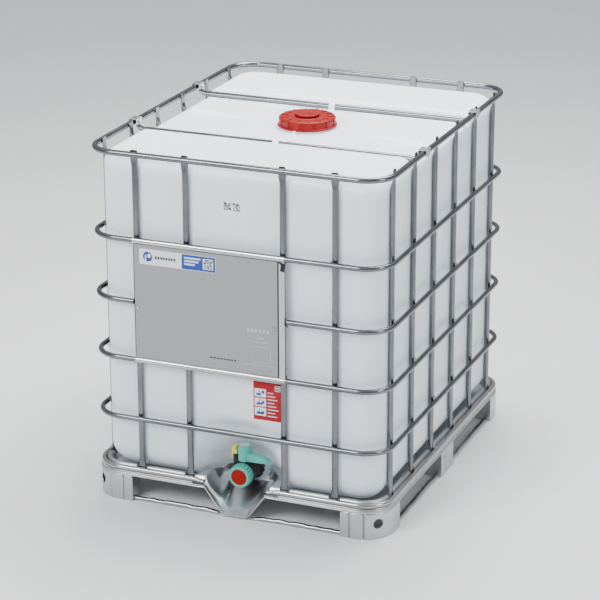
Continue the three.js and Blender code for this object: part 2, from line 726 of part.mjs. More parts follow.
function cornerFoot(sx, sy) {
  const faceX = WIDTH / 2;
  const faceY = LENGTH / 2;
  const outline = [[FOOT_REACH_X, -faceY + FOOT_RETURN], [FOOT_REACH_X, -faceY]];
  for (const x of CREASES_X) outline.push([x - 3, -faceY], [x, -faceY + CREASE_DEEP], [x + 3, -faceY]);
  for (let i = 0; i <= CORNER_STEPS; i += 1) {
    const angle = (-Math.PI / 2) * (1 - i / CORNER_STEPS);
    const x = faceX - FOOT_CORNER + FOOT_CORNER * Math.cos(angle);
    outline.push([x, -faceY + FOOT_CORNER + FOOT_CORNER * Math.sin(angle)]);
  }
  outline.push([faceX, -FOOT_REACH_Y], [faceX - FOOT_RETURN, -FOOT_REACH_Y]);
  const wall = sweep(mitred(outline), footSection, 0, false);
  const way = sweep(runnerPath, runnerShape(1.5), RUNNER_HIGH / 2 - 1, false);
  const diagonal = FOOT_CORNER * (1 - Math.SQRT1_2);
  const hole = rod(FOOT_HOLE, -20, 20, 20).rotateX(Math.PI / 2).rotateZ(Math.PI / 4)
    .translate(faceX - diagonal, -faceY + diagonal, FOOT_HOLE_Z);
  let foot = cut(wall, way, hole);
  if (sy > 0) foot = mirrorY(foot);
  return sx > 0 ? foot : mirrorX(foot);
}

const CORNERS = [
  ['front_left', -1, -1], ['front_right', 1, -1], ['rear_left', -1, 1], ['rear_right', 1, 1],
];
for (const [name, sx, sy] of CORNERS) part(`corner_foot_${name}`, cornerFoot(sx, sy), 'sheet');

// a channel foot in the middle of a side, its web on the pallet's outer face
function centreFoot(face, turn) {
  const half = CENTRE_FOOT_HALF;
  const depth = FOOT_RETURN + 10;
  const outline = [
    [-half, -face + depth], [-half, -face], [-4, -face], [0, -face + 3], [4, -face],
    [half, -face], [half, -face + depth],
  ];
  const wall = sweep(mitred(outline), footSection, 0, false);
  const way = box(-half - 10, half + 10, -face + 4, -face + 32, -5, RUNNER_HIGH + 2);
  const hole = rod(5, -20, 20, 12).rotateX(Math.PI / 2).translate(-half / 2, -face, 60);
  return cut(wall, way, hole).rotateZ(turn);
}
part('centre_foot_right', centreFoot(WIDTH / 2, Math.PI / 2), 'sheet');
part('centre_foot_left', centreFoot(WIDTH / 2, -Math.PI / 2), 'sheet');
part('centre_foot_rear', centreFoot(LENGTH / 2, Math.PI), 'sheet');

// ---- lid ----------------------------------------------------------------------------------------
// a disc outline with flat ribs around it
function ribbedOutline(radius, depth, ribs, duty) {
  const outline = [];
  for (let i = 0; i < ribs; i += 1) {
    const step = (2 * Math.PI) / ribs;
    const a = i * step;
    const stops = [[0, radius], [duty, radius], [duty + 0.06, radius - depth], [0.94, radius - depth]];
    for (const [t, r] of stops) outline.push([r * Math.cos(a + t * step), r * Math.sin(a + t * step)]);
  }
  return outline;
}

const onLid = (geometry) => geometry.translate(0, LID_Y, 0);
const ceiling = NECK_TOP + 2 * GAP + GASKET_THICK;

function lid() {
  const panels = prism(ribbedOutline(LID_RADIUS, 2.5, LID_RIBS, 0.7), LID_BOTTOM, LID_TOP - 3);
  const crown = rod(LID_RADIUS - 4, LID_TOP - 4, LID_TOP, 42);
  const lip = rod(LID_LIP, LID_BOTTOM, LID_BOTTOM + 6, 42);
  const socket = rod(NECK_OUTER + 0.6, LID_BOTTOM - 5, ceiling, 40);
  const thread = rod(PLUG_THREAD + 0.5, ceiling - 5, LID_TOP + 5, 32);
  return onLid(cut(join(panels, crown, lip), socket, thread));
}
part('lid', lid(), 'red');

function washer(inner, outer, z0, z1, segments = 40) {
  return turned([[inner, z0], [outer, z0], [outer, z1], [inner, z1], [inner, z0]], segments);
}
const gasketZ = NECK_TOP + GAP;
part('lid_gasket', onLid(washer(NECK_INNER + 0.5, NECK_OUTER, gasketZ, gasketZ + GASKET_THICK)), 'rubber');

const sealZ = LID_TOP + GAP;
part('vent_plug_seal', onLid(washer(PLUG_THREAD + 0.5, PLUG_RADIUS - 3, sealZ, sealZ + 2)), 'rubber');

function ventPlug() {
  const head = prism(ribbedOutline(PLUG_RADIUS, 1.5, 24, 0.5), sealZ + 2 + GAP, PLUG_TOP - 2);
  const crown = rod(PLUG_RADIUS - 3, PLUG_TOP - 3, PLUG_TOP, 32);
  const shank = rod(PLUG_THREAD, ceiling + 1, LID_TOP + 4, 32);
  const slot = box(-3, 3, -PLUG_RADIUS - 2, -PLUG_RADIUS + 16, PLUG_TOP - 4, PLUG_TOP + 2);
  return onLid(cut(join(head, crown, shank), slot));
}
part('vent_plug', ventPlug(), 'red');

// ---- outlet valve -------------------------------------------------------------------------------
const RIB_TURN = new THREE.Matrix4().makeBasis(point(1, 0, 0), point(0, 0, 1), point(0, -1, 0));

// an outline around the outlet's axis, pulled along Y
function onOutlet(outline, y0, y1) {
  return prism(outline, -y1, -y0).applyMatrix4(RIB_TURN).translate(0, 0, VALVE_Z);
}

function unionNut() {
  const grip = onOutlet(ribbedOutline(NUT_RADIUS, 2, 16, 0.55), NUT_END, NUT_START);
  return cut(grip, outletRod(OUTLET_OUTER + 0.5, NUT_END - 5, NUT_START + 5, 32));
}
part('union_nut', unionNut(), 'black');

function valveBody() {
  const collar = NUT_RADIUS - 6;
  const barrel = turnedOnOutlet([
    [0, OUTLET_END - GAP], [OUTLET_OUTER, OUTLET_END - GAP], [OUTLET_OUTER, NUT_END - 1],
    [collar, NUT_END - 1], [collar, NUT_END - 6], [BODY_RADIUS, NUT_END - 6],
    [BODY_RADIUS, BODY_END], [0, BODY_END],
  ]);
  const tower = rod(17, VALVE_Z + 4, HUB_BOTTOM - GAP, 24).translate(0, STEM_Y, 0);
  const lug = box(-35, -12, STEM_Y - 9, STEM_Y + 9, VALVE_Z + 7, LATCH_SEAT + 8);
  const lugTrim = rod(HUB_RADIUS + 1.5, HUB_BOTTOM - GAP, HUB_TOP, 32).translate(0, STEM_Y, 0);
  const bore = outletRod(BORE, BODY_END - 5, OUTLET_END + 5, 32);
  const stemWay = rod(STEM_RADIUS + 0.4, VALVE_Z, HUB_TOP, 16).translate(0, STEM_Y, 0);
  return cut(join(barrel, tower, lug), lugTrim, bore, stemWay);
}
part('valve_body', valveBody(), 'black');

// the butterfly disc and its stem, shut across the bore
function butterfly() {
  const disc = outletRod(BORE - 0.6, STEM_Y - 2.5, STEM_Y + 2.5, 32);
  const stem = rod(STEM_RADIUS, VALVE_Z - 20, HUB_TOP - 12, 16).translate(0, STEM_Y, 0);
  return join(disc, stem);
}
part('butterfly', butterfly(), 'black');

// the lever points along +X when the valve is shut
function lever() {
  const hub = rod(HUB_RADIUS, HUB_BOTTOM, HUB_TOP, 32).translate(0, STEM_Y, 0);
  const side = [
    [0, HUB_BOTTOM + 2], [LEVER_REACH, HUB_BOTTOM + 2], [LEVER_REACH + 4, HUB_BOTTOM + 6],
    [LEVER_REACH - 8, HUB_BOTTOM + 17], [58, HUB_BOTTOM + 26], [28, HUB_BOTTOM + 31], [0, HUB_BOTTOM + 31],
  ];
  const arm = prismY(side, STEM_Y - 15, STEM_Y + 15);
  const under = [
    [HUB_RADIUS + 6, HUB_BOTTOM - 5], [LEVER_REACH - 2, HUB_BOTTOM - 5], [LEVER_REACH - 8, HUB_BOTTOM + 12],
    [56, HUB_BOTTOM + 22], [HUB_RADIUS + 6, HUB_BOTTOM + 26],
  ];
  const hollow = prismY(under, STEM_Y - 11.5, STEM_Y + 11.5);
  const socket = rod(STEM_RADIUS + 0.4, HUB_BOTTOM - 5, HUB_TOP - 11, 16).translate(0, STEM_Y, 0);
  return cut(join(hub, arm), hollow, socket);
}
part('lever', lever(), 'turquoise');

// the safety latch stands on the body's lug beside the hub
function latch() {
  const outline = [
    [-41, LATCH_SEAT - 6], [-36.5, LATCH_SEAT - 6], [-36.5, LATCH_SEAT + 8.4], [-23, LATCH_SEAT + 8.4],
    [-23, LATCH_SEAT + 22], [-27, LATCH_SEAT + 22], [-27, LATCH_SEAT + 34], [-38, LATCH_SEAT + 34],
    [-41, LATCH_SEAT + 28],
  ];
  return prismY(outline, STEM_Y - 8, STEM_Y + 8);
}
part('safety_latch', latch(), 'yellow');

// the screw cap: a ribbed ring around a red pressure disc
function capRing() {
  const grip = onOutlet(ribbedOutline(CAP_RADIUS, 1.6, 24, 0.5), CAP_FACE + 3, CAP_BACK);
  const rim = outletRod(CAP_RADIUS - 2, CAP_FACE, CAP_FACE + 4, 32);
  const thread = outletRod(BODY_RADIUS + 0.4, CAP_FACE + 3, CAP_BACK + 5, 32);
  const window = outletRod(CAP_WINDOW, CAP_FACE - 5, CAP_FACE + 6, 32);
  return cut(join(grip, rim), thread, window);
}
part('outlet_cap_ring', capRing(), 'turquoise');

const discBack = BODY_END - GAP - 2.2 - GAP;
const discFlange = CAP_FACE + 3 + GAP;
part('outlet_cap_disc', turnedOnOutlet([
  [0, CAP_FACE + 0.5], [CAP_WINDOW - GAP, CAP_FACE + 0.5], [CAP_WINDOW - GAP, discFlange],
  [BODY_RADIUS - 1, discFlange], [BODY_RADIUS - 1, discBack], [0, discBack],
]), 'signal');
part('outlet_cap_gasket', turnedOnOutlet([
  [BORE + 1, discBack + GAP], [BODY_RADIUS - 1, discBack + GAP], [BODY_RADIUS - 1, BODY_END - GAP],
  [BORE + 1, BODY_END - GAP], [BORE + 1, discBack + GAP],
]), 'rubber');

export default container;
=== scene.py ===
import math
import random

import bmesh
import bpy
from mathutils import Matrix, Vector, noise


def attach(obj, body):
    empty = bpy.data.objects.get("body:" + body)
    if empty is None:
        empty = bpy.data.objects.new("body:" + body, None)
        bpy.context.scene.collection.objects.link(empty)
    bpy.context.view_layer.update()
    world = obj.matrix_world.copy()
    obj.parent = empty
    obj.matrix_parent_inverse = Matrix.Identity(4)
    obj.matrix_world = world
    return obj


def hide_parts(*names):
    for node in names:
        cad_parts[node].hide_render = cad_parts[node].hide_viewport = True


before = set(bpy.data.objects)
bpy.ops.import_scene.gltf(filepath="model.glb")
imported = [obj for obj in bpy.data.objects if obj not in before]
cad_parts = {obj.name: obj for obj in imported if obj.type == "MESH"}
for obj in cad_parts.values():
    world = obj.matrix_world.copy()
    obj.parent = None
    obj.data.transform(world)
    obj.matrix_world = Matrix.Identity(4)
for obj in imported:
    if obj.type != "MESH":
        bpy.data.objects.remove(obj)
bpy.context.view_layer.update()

MM = 0.001


# ------------------------------------------------------------------------------
# mesh tools, all in millimetres
# ------------------------------------------------------------------------------
def lerp(a, b, t):
    return a + (b - a) * t


def clamp(t, low=0.0, high=1.0):
    return max(low, min(high, t))


def smooth(t):
    t = clamp(t)
    return t * t * (3 - 2 * t)


def table(x, pairs):
    if x <= pairs[0][0]:
        return pairs[0][1]
    for (x0, y0), (x1, y1) in zip(pairs, pairs[1:]):
        if x <= x1:
            return lerp(y0, y1, (x - x0) / (x1 - x0))
    return pairs[-1][1]


def make(name, verts, faces, material, sharp=35.0, bevel=0.0, segments=2):
    mesh = bpy.data.meshes.new(name)
    mesh.from_pydata([(x * MM, y * MM, z * MM) for x, y, z in verts], [], faces)
    mesh.validate()
    obj = bpy.data.objects.new(name, mesh)
    bpy.context.scene.collection.objects.link(obj)
    mesh.materials.append(material)
    finish_mesh(obj, sharp, bevel, segments)
    return obj


def finish_mesh(obj, sharp=35.0, bevel=0.0, segments=2):
    bm = bmesh.new()
    bm.from_mesh(obj.data)
    bmesh.ops.remove_doubles(bm, verts=bm.verts, dist=1e-6)
    bmesh.ops.recalc_face_normals(bm, faces=bm.faces)
    limit = math.radians(sharp)
    for face in bm.faces:
        face.smooth = True
    for edge in bm.edges:
        if len(edge.link_faces) == 2:
            edge.smooth = edge.calc_face_angle(0.0) < limit
    bm.to_mesh(obj.data)
    bm.free()
    if bevel:
        mod = obj.modifiers.new("bevel", "BEVEL")
        mod.width = bevel * MM
        mod.segments = segments
        mod.limit_method = "ANGLE"
        mod.angle_limit = limit
        mod.harden_normals = True


def skin(loops, closed=False, caps=True):
    n = len(loops[0])
    verts = [p for loop in loops for p in loop]
    faces = []
    rows = len(loops) if closed else len(loops) - 1
    for i in range(rows):
        a = i * n
        b = ((i + 1) % len(loops)) * n
        for j in range(n):
            k = (j + 1) % n
            faces.append((a + j, a + k, b + k, b + j))
    if not closed and caps:
        faces.append(tuple(reversed(range(n))))
        last = (len(loops) - 1) * n
        faces.append(tuple(range(last, last + n)))
    return verts, faces


def merge(*parts):
    verts, faces = [], []
    for v, f in parts:
        base = len(verts)
        verts.extend(v)
        faces.extend(tuple(i + base for i in face) for face in f)
    return verts, faces


def moved(part, dx=0.0, dy=0.0, dz=0.0):
    return [(x + dx, y + dy, z + dz) for x, y, z in part[0]], part[1]


def turned_by(part, matrix):
    return [tuple(matrix @ Vector(v)) for v in part[0]], part[1]


def prism(outline, z0, z1):
    loops = [[(x, y, z) for x, y in outline] for z in (z0, z1)]
    return skin(loops)


def prism_x(outline, x0, x1, steps=1):
    return skin([[(lerp(x0, x1, i / steps), y, z) for y, z in outline] for i in range(steps + 1)])


def prism_y(outline, y0, y1):
    return skin([[(x, y, z) for x, z in outline] for y in (y0, y1)])


def box(x0, x1, y0, y1, z0, z1):
    return prism([(x0, y0), (x1, y0), (x1, y1), (x0, y1)], z0, z1)


def lathe(profile, segments=64, shape=None):
    """a profile of (radius, height) about Z; (shape) changes the radius by angle, radius and height"""
    verts, faces = [], []
    for i in range(segments):
        a = 2 * math.pi * i / segments
        for r, z in profile:
            radius = r + (shape(a, r, z) if shape else 0.0)
            verts.append((radius * math.cos(a), radius * math.sin(a), z))
    n = len(profile)
    for i in range(segments):
        a = i * n
        b = ((i + 1) % segments) * n
        for j in range(n - 1):
            faces.append((a + j, b + j, b + j + 1, a + j + 1))
    return verts, faces


def rounded_profile(points, radius=1.0, steps=3):
    """an open profile with its inner corners rounded"""
    out = [points[0]]
    for prev, here, after in zip(points, points[1:], points[2:]):
        a = Vector(prev) - Vector(here)
        b = Vector(after) - Vector(here)
        reach = min(radius, a.length * 0.45, b.length * 0.45)
        if reach < 1e-6:
            out.append(here)
            continue
        start = Vector(here) + a.normalized() * reach
        end = Vector(here) + b.normalized() * reach
        for i in range(steps + 1):
            t = i / steps
            p = start * (1 - t) ** 2 + Vector(here) * 2 * t * (1 - t) + end * t ** 2
            out.append(tuple(p))
    out.append(points[-1])
    return out


def closed_rounded(points, radius=1.0, steps=3):
    ring = [points[-1]] + list(points) + [points[0]]
    return rounded_profile(ring, radius, steps)[1:-1]


def oval(a, b, n=20, power=2.0):
    out = []
    for i in range(n):
        t = 2 * math.pi * (i + 0.5) / n
        c, s = math.cos(t), math.sin(t)
        out.append((a * math.copysign(abs(c) ** (2 / power), c), b * math.copysign(abs(s) ** (2 / power), s)))
    return out


def rounded_path(hx, hy, r, corner=12, step=20.0):
    """a rounded rectangle, anticlockwise from the right end of the front side: (x, y, nx, ny)"""
    out = []
    for sx, sy, start in ((1, -1, -90), (1, 1, 0), (-1, 1, 90), (-1, -1, 180)):
        for i in range(corner + 1):
            a = math.radians(start + 90 * i / corner)
            nx, ny = math.cos(a), math.sin(a)
            out.append((sx * (hx - r) + r * nx, sy * (hy - r) + r * ny, nx, ny))
        x0, y0, nx, ny = out[-1]
        length = 2 * (hy - r) if abs(nx) > 0.5 else 2 * (hx - r)
        count = max(1, round(length / step))
        for i in range(1, count):
            d = length * i / count
            out.append((x0 - ny * d, y0 + nx * d, nx, ny))
    return out


def open_path(hx, hy, r, right, left, corner=12, step=20.0):
    """the same path, open on the front side from x = right round to x = left"""
    whole = rounded_path(hx, hy, r, corner, step)
    front = [p for p in whole if p[3] < -0.999]
    rest = [p for p in whole if not p[3] < -0.999]
    right_part = sorted((p for p in front if p[0] > right + 1), key=lambda p: p[0])
    left_part = sorted((p for p in front if p[0] < left - 1), key=lambda p: p[0])
    return [(right, -hy, 0.0, -1.0)] + right_part + rest + left_part + [(left, -hy, 0.0, -1.0)]


def sweep(path, section, z, closed):
    loops = []
    for i, p in enumerate(path):
        outline = section(i, p) if callable(section) else section
        loops.append([(p[0] + p[2] * out, p[1] + p[3] * out, z + up) for out, up in outline])
    return skin(loops, closed)


def ribbed(depth, ribs, duty, soft=0.08):
    """radius change by angle for flat ribs around a disc"""
    def shape(angle):
        t = (angle / (2 * math.pi) * ribs) % 1.0
        edge = min(smooth(t / soft), smooth((duty + soft - t) / soft)) if t < duty + soft else 0.0
        return -depth * (1 - edge)
    return shape


def solid_of(name, part, material, body, slot, nodes, **keys):
    obj = make(name, part[0], part[1], material, **keys)
    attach(obj, body)
    if nodes:
        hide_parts(*nodes)
    return obj


# ------------------------------------------------------------------------------
# materials
# ------------------------------------------------------------------------------
class Shader:
    def __init__(self, name):
        self.mat = bpy.data.materials.new(name)
        self.mat.use_nodes = True
        self.tree = self.mat.node_tree
        self.bsdf = self.tree.nodes["Principled BSDF"]
        place = self.add("ShaderNodeTexCoord")
        self.coords, self.normals = place.outputs["Object"], place.outputs["Normal"]

    def add(self, kind, inputs=None, **settings):
        node = self.tree.nodes.new(kind)
        for key, value in settings.items():
            setattr(node, key, value)
        for key, value in (inputs or {}).items():
            self.plug(node.inputs[key], value)
        return node

    def plug(self, socket, value):
        if isinstance(value, bpy.types.NodeSocket):
            self.tree.links.new(value, socket)
        else:
            socket.default_value = value

    def scaled(self, x, y, z):
        return self.add("ShaderNodeMapping", {"Vector": self.coords, "Scale": (x, y, z)}).outputs[0]

    def noise(self, scale, detail=4.0, rough=0.5, vector=None):
        return self.add("ShaderNodeTexNoise", {
            "Vector": vector or self.coords, "Scale": scale, "Detail": detail, "Roughness": rough,
        }).outputs["Fac"]

    def cells(self, scale):
        node = self.add("ShaderNodeTexVoronoi", {"Vector": self.coords, "Scale": scale, "Randomness": 1.0})
        return self.add("ShaderNodeSeparateColor", {"Color": node.outputs["Color"]}).outputs[0]

    def ramp(self, value, low, high, out_low=0.0, out_high=1.0):
        return self.add("ShaderNodeMapRange", {
            "Value": value, "From Min": low, "From Max": high, "To Min": out_low, "To Max": out_high,
        }).outputs["Result"]

    def math(self, op, a, b=0.0):
        return self.add("ShaderNodeMath", {0: a, 1: b}, operation=op).outputs[0]

    def mix(self, factor, a, b):
        node = self.add("ShaderNodeMix", data_type="RGBA")
        self.plug(node.inputs[0], factor)
        self.plug(node.inputs[6], a)
        self.plug(node.inputs[7], b)
        return node.outputs[2]

    def bump(self, height, strength, distance):
        return self.add("ShaderNodeBump", {
            "Height": height, "Strength": strength, "Distance": distance,
        }).outputs["Normal"]

    def set(self, **values):
        for key, value in values.items():
            self.plug(self.bsdf.inputs[key.replace("_", " ")], value)
        return self.mat


def rgb(r, g, b):
    return (r, g, b, 1.0)


def zinc(name, dark, light, spangle, rough, grain=0.04):
    """hot-dipped zinc: faint crystal cells, a cloudy film and a fine grain"""
    s = Shader(name)
    cells = s.cells(spangle)
    cloud = s.noise(9.0, 5.0, 0.6)
    fine = s.noise(420.0, 3.0, 0.6)
    tone = s.math("ADD", s.math("MULTIPLY", cells, 0.18), s.math("MULTIPLY", s.ramp(cloud, 0.3, 0.7), 0.82))
    colour = s.mix(tone, dark, light)
    sparkle = s.ramp(cells, 0, 1, rough - 0.02, rough + 0.02)
    roughness = s.math("ADD", sparkle, s.ramp(cloud, 0.3, 0.7, -0.02, 0.03))
    return s.set(Base_Color=colour, Metallic=1.0, Roughness=roughness, Normal=s.bump(fine, grain, 0.0004))


def plastic(name, dark, light, rough, grain=900.0, depth=0.08, gloss=0.5):
    """moulded plastic: slight colour clouds, handling marks in the gloss and a fine skin texture"""
    s = Shader(name)
    cloud = s.noise(30.0, 4.0, 0.55)
    wear = s.noise(120.0, 5.0, 0.7)
    fine = s.noise(grain, 2.0, 0.5)
    colour = s.mix(s.ramp(cloud, 0.3, 0.7), dark, light)
    roughness = s.ramp(wear, 0.3, 0.7, rough - 0.06, rough + 0.08)
    normal = s.bump(fine, depth, 0.0004)
    return s.set(Base_Color=colour, Roughness=roughness, Specular_IOR_Level=gloss, Normal=normal)


def plate_steel():
    """satin sheet with a faint rolling direction, smudges and wipe marks"""
    s = Shader("plate_steel")
    rolled = s.noise(60.0, 4.0, 0.6, s.scaled(0.5, 1.0, 9.0))
    smudge = s.noise(6.0, 6.0, 0.65)
    fine = s.noise(700.0, 2.0, 0.5)
    colour = s.mix(s.math("ADD", s.math("MULTIPLY", rolled, 0.5), s.math("MULTIPLY", smudge, 0.5)),
                   rgb(0.29, 0.295, 0.31), rgb(0.36, 0.365, 0.38))
    rough = s.ramp(smudge, 0.3, 0.7, 0.42, 0.56)
    return s.set(Base_Color=colour, Metallic=0.55, Roughness=rough, Normal=s.bump(fine, 0.08, 0.0004))


def bottle_plastic():
    """milky polyethylene: soft scattering, slow ripples from the blowing and a colour darker towards the bottom; a
    painted glow that rises with height and lights the top deck, and a painted highlight on the deck's tilted crests
    """
    s = Shader("bottle_plastic")
    height = s.add("ShaderNodeSeparateXYZ", {"Vector": s.coords}).outputs[2]
    ripple = s.noise(5.0, 3.0, 0.5)
    cloud = s.noise(2.2, 3.0, 0.5)
    fine = s.noise(260.0, 3.0, 0.5)
    # colour mix: lighter higher up, darker towards the bottom, with random clouds
    low = s.ramp(height, 0.1, 1.05)
    tone = s.math("ADD", s.math("MULTIPLY", low, 0.6), s.math("MULTIPLY", s.ramp(cloud, 0.35, 0.65), 0.4))
    colour = s.mix(tone, rgb(0.73, 0.79, 0.85), rgb(0.82, 0.875, 0.93))
    upright = s.add("ShaderNodeSeparateXYZ", {"Vector": s.normals}).outputs[2]
    # painted glow: emission that grows with height and jumps up on the top deck, standing in for light coming
    # through the wall
    painted_glow = s.math("ADD", s.ramp(height, 0.1, 0.9, 0.06, 0.12), s.ramp(height, 1.07, 1.13, 0.0, 0.44))
    # painted highlight: emission on the tilted parts of the top deck, mainly the ramps' crests
    painted_crest_highlight = s.math("MULTIPLY", s.ramp(upright, 0.999, 0.975, 0.0, 0.45), s.ramp(height, 1.095, 1.115))
    painted_glow = s.math("ADD", painted_glow, painted_crest_highlight)
    waves = s.math("ADD", s.math("MULTIPLY", ripple, 6.0), s.math("MULTIPLY", fine, 0.12))
    return s.set(
        Base_Color=colour, Roughness=s.ramp(cloud, 0.3, 0.7, 0.34, 0.46),
        Emission_Color=rgb(0.74, 0.86, 1.0), Emission_Strength=painted_glow,
        Subsurface_Weight=0.25, Subsurface_Radius=(0.02, 0.022, 0.025), Subsurface_Scale=0.4,
        Normal=s.bump(waves, 0.25, 0.0016))


# painted light: two copies of the galvanised tube; the darker one, for the rings, posts and bars, stands in for the
# dark surroundings they reflect, and the lighter one, for the base ring and runner, stands in for their bright
# highlights
SHADED_TUBE = zinc("galvanised_tube", rgb(0.12, 0.126, 0.133), rgb(0.21, 0.218, 0.23), 130.0, 0.20, 0.02)
LIT_TUBE = zinc("lit_tube", rgb(0.34, 0.347, 0.355), rgb(0.46, 0.468, 0.48), 110.0, 0.20, 0.02)
SHEET = zinc("galvanised_sheet", rgb(0.46, 0.465, 0.47), rgb(0.55, 0.555, 0.56), 60.0, 0.32, 0.02)
# painted light: a lighter copy of the galvanised sheet for the chute, standing in for the light its folds catch
LIT_CHUTE_SHEET = zinc("chute_lit_sheet", rgb(0.54, 0.545, 0.55), rgb(0.68, 0.685, 0.69), 40.0, 0.34, 0.02)
EDGE = zinc("rolled_edge", rgb(0.44, 0.445, 0.45), rgb(0.60, 0.605, 0.61), 90.0, 0.17)
WELD = zinc("weld_scar", rgb(0.13, 0.13, 0.135), rgb(0.26, 0.26, 0.27), 300.0, 0.45, 0.2)
PLATE = plate_steel()
BOTTLE = bottle_plastic()
RED = plastic("lid_plastic", rgb(0.22, 0.003, 0.002), rgb(0.28, 0.005, 0.003), 0.40, gloss=0.2)
SIGNAL = plastic("signal_red_plastic", rgb(0.25, 0.005, 0.002), rgb(0.32, 0.008, 0.004), 0.45, gloss=0.15)
TURQUOISE = plastic("turquoise_plastic", rgb(0.07, 0.42, 0.35), rgb(0.10, 0.50, 0.42), 0.42, gloss=0.25)
BLACK = plastic("valve_plastic", rgb(0.014, 0.012, 0.012), rgb(0.026, 0.023, 0.023), 0.45, gloss=0.3)
YELLOW = plastic("yellow_plastic", rgb(0.78, 0.66, 0.04), rgb(0.86, 0.75, 0.07), 0.42, gloss=0.3)
RUBBER = plastic("seal_rubber", rgb(0.012, 0.012, 0.012), rgb(0.025, 0.025, 0.025), 0.7, grain=1500.0)
HUB_GREY = plastic("hub_cap_grey", rgb(0.42, 0.43, 0.50), rgb(0.52, 0.53, 0.60), 0.45)
PAPER = plastic("label_paper", rgb(0.72, 0.75, 0.80), rgb(0.78, 0.81, 0.86), 0.42)
LABEL_BLUE = plastic("label_blue", rgb(0.018, 0.055, 0.29), rgb(0.028, 0.075, 0.34), 0.5, gloss=0.2)
LABEL_LIGHT = plastic("label_light_blue", rgb(0.55, 0.62, 0.80), rgb(0.62, 0.68, 0.84), 0.5, gloss=0.2)
LABEL_RED = plastic("label_red", rgb(0.33, 0.012, 0.016), rgb(0.40, 0.020, 0.024), 0.5, gloss=0.2)
INK = plastic("label_ink", rgb(0.015, 0.016, 0.020), rgb(0.035, 0.036, 0.042), 0.6, gloss=0.1)
# painted shadow for the embossed marks on the plate
EMBOSS_SHADE_GREY = plastic("emboss_shade", rgb(0.22, 0.225, 0.235), rgb(0.26, 0.265, 0.275), 0.5, gloss=0.2)
PRINT = plastic("print_grey", rgb(0.16, 0.165, 0.18), rgb(0.22, 0.225, 0.24), 0.5, gloss=0.2)


# ------------------------------------------------------------------------------
# dimensions shared with the solids
# ------------------------------------------------------------------------------
HALF_X, HALF_Y, TOP = 500.0, 600.0, 1160.0
RING_R, TOP_RING_R = 8.5, 9.5
RING_X, RING_Y = 490.0, 590.0
TOP_X, TOP_Y = 489.0, 589.0
RING_LEVELS = {"upper": 876.0, "middle": 676.0, "lower": 484.0, "valve": 283.0}
TOP_RING_Z, BASE_RING_Z = 1148.0, 108.0
FRONT_POSTS = (-328.0, -159.5, 159.5, 328.0)
SIDE_POSTS = (-478.0, -289.0, -97.5, 97.5, 289.0, 478.0)
PLATE_LEFT, PLATE_RIGHT, PLATE_FACE = -332.0, 173.0, -592.0
BAR_Y, BAR_Z = 240.0, 1124.0
LID_Y = 15.0
VALVE_Z, STEM_Y = 124.0, -513.0
GROOVE_Z = 1110.0
CHUTE_PLAN = ((-600.0, 146.0), (-572.0, 144.0), (-520.0, 126.0), (-475.0, 98.0), (-440.0, 62.0))
BASE = "container"


# ------------------------------------------------------------------------------
# cage
# ------------------------------------------------------------------------------
def near_post(x, y, reach=14.0):
    """how close a ring point is to the middle of a post, from 0 to 1"""
    if abs(y) > 560:
        d = min(abs(x - p) for p in FRONT_POSTS)
    elif abs(x) > 460:
        d = min(abs(y - p) for p in SIDE_POSTS)
    else:
        return 0.0
    return smooth(1 - d / reach)


def ring_section(radius, flat_to=0.0):
    """a round tube, dented a little where it is welded to a post; (flat_to) presses its open ends flat"""
    base = oval(radius, radius, 20)

    def section(i, p):
        squeeze = 0.8 * near_post(p[0], p[1])
        flat = smooth((flat_to - abs(p[0])) / 26.0) if p[3] < -0.99 and flat_to else 0.0
        return [(out + (squeeze if out < 0 else 0) * (-out / radius), up * (1 - 0.5 * flat) - 3.0 * flat)
                for out, up in base]
    return section


def ring(name, path, radius, z, closed, node, flat_to=0.0):
    part = sweep(path, ring_section(radius, flat_to), z, closed)
    # painted light: the base ring gets the lighter tube copy, the other rings the darker one
    solid_of(name, part, LIT_TUBE if flat_to else SHADED_TUBE, BASE, "galvanised_tube", [node], sharp=50)


ring("ring_top", rounded_path(TOP_X, TOP_Y, 90, 16, 8), TOP_RING_R, TOP_RING_Z, True, "cage_ring_top")
for level, z in RING_LEVELS.items():
    if level == "middle":
        path = open_path(RING_X, RING_Y, 90, PLATE_RIGHT + 6, PLATE_LEFT - 2, 16, 8)
    else:
        path = rounded_path(RING_X, RING_Y, 90, 16, 8)
    ring(f"ring_{level}", path, RING_R, z, level != "middle", f"cage_ring_{level}")
base_path = open_path(RING_X, RING_Y, 90, 107, -107, 16, 8)
ring("ring_base", base_path, RING_R, BASE_RING_Z, False, "cage_ring_base", 140.0)


# a post is lofted up its height: pressed flat at both ends, and a little wider where a ring crosses it
POST_TABLE = (
    (92.0, 26.0, 3.6, 18.8), (112.0, 26.0, 3.8, 18.8), (118.0, 25.0, 5.0, 18.8), (130.0, 22.0, 11.0, 18.8),
    (142.0, 20.0, 16.0, 18.8), (1102.0, 20.0, 16.0, 18.8), (1114.0, 22.0, 11.5, 19.8),
    (1124.0, 25.0, 5.5, 20.8),
    (1130.0, 26.0, 3.8, 20.8), (1160.0, 25.0, 3.6, 20.8),
)


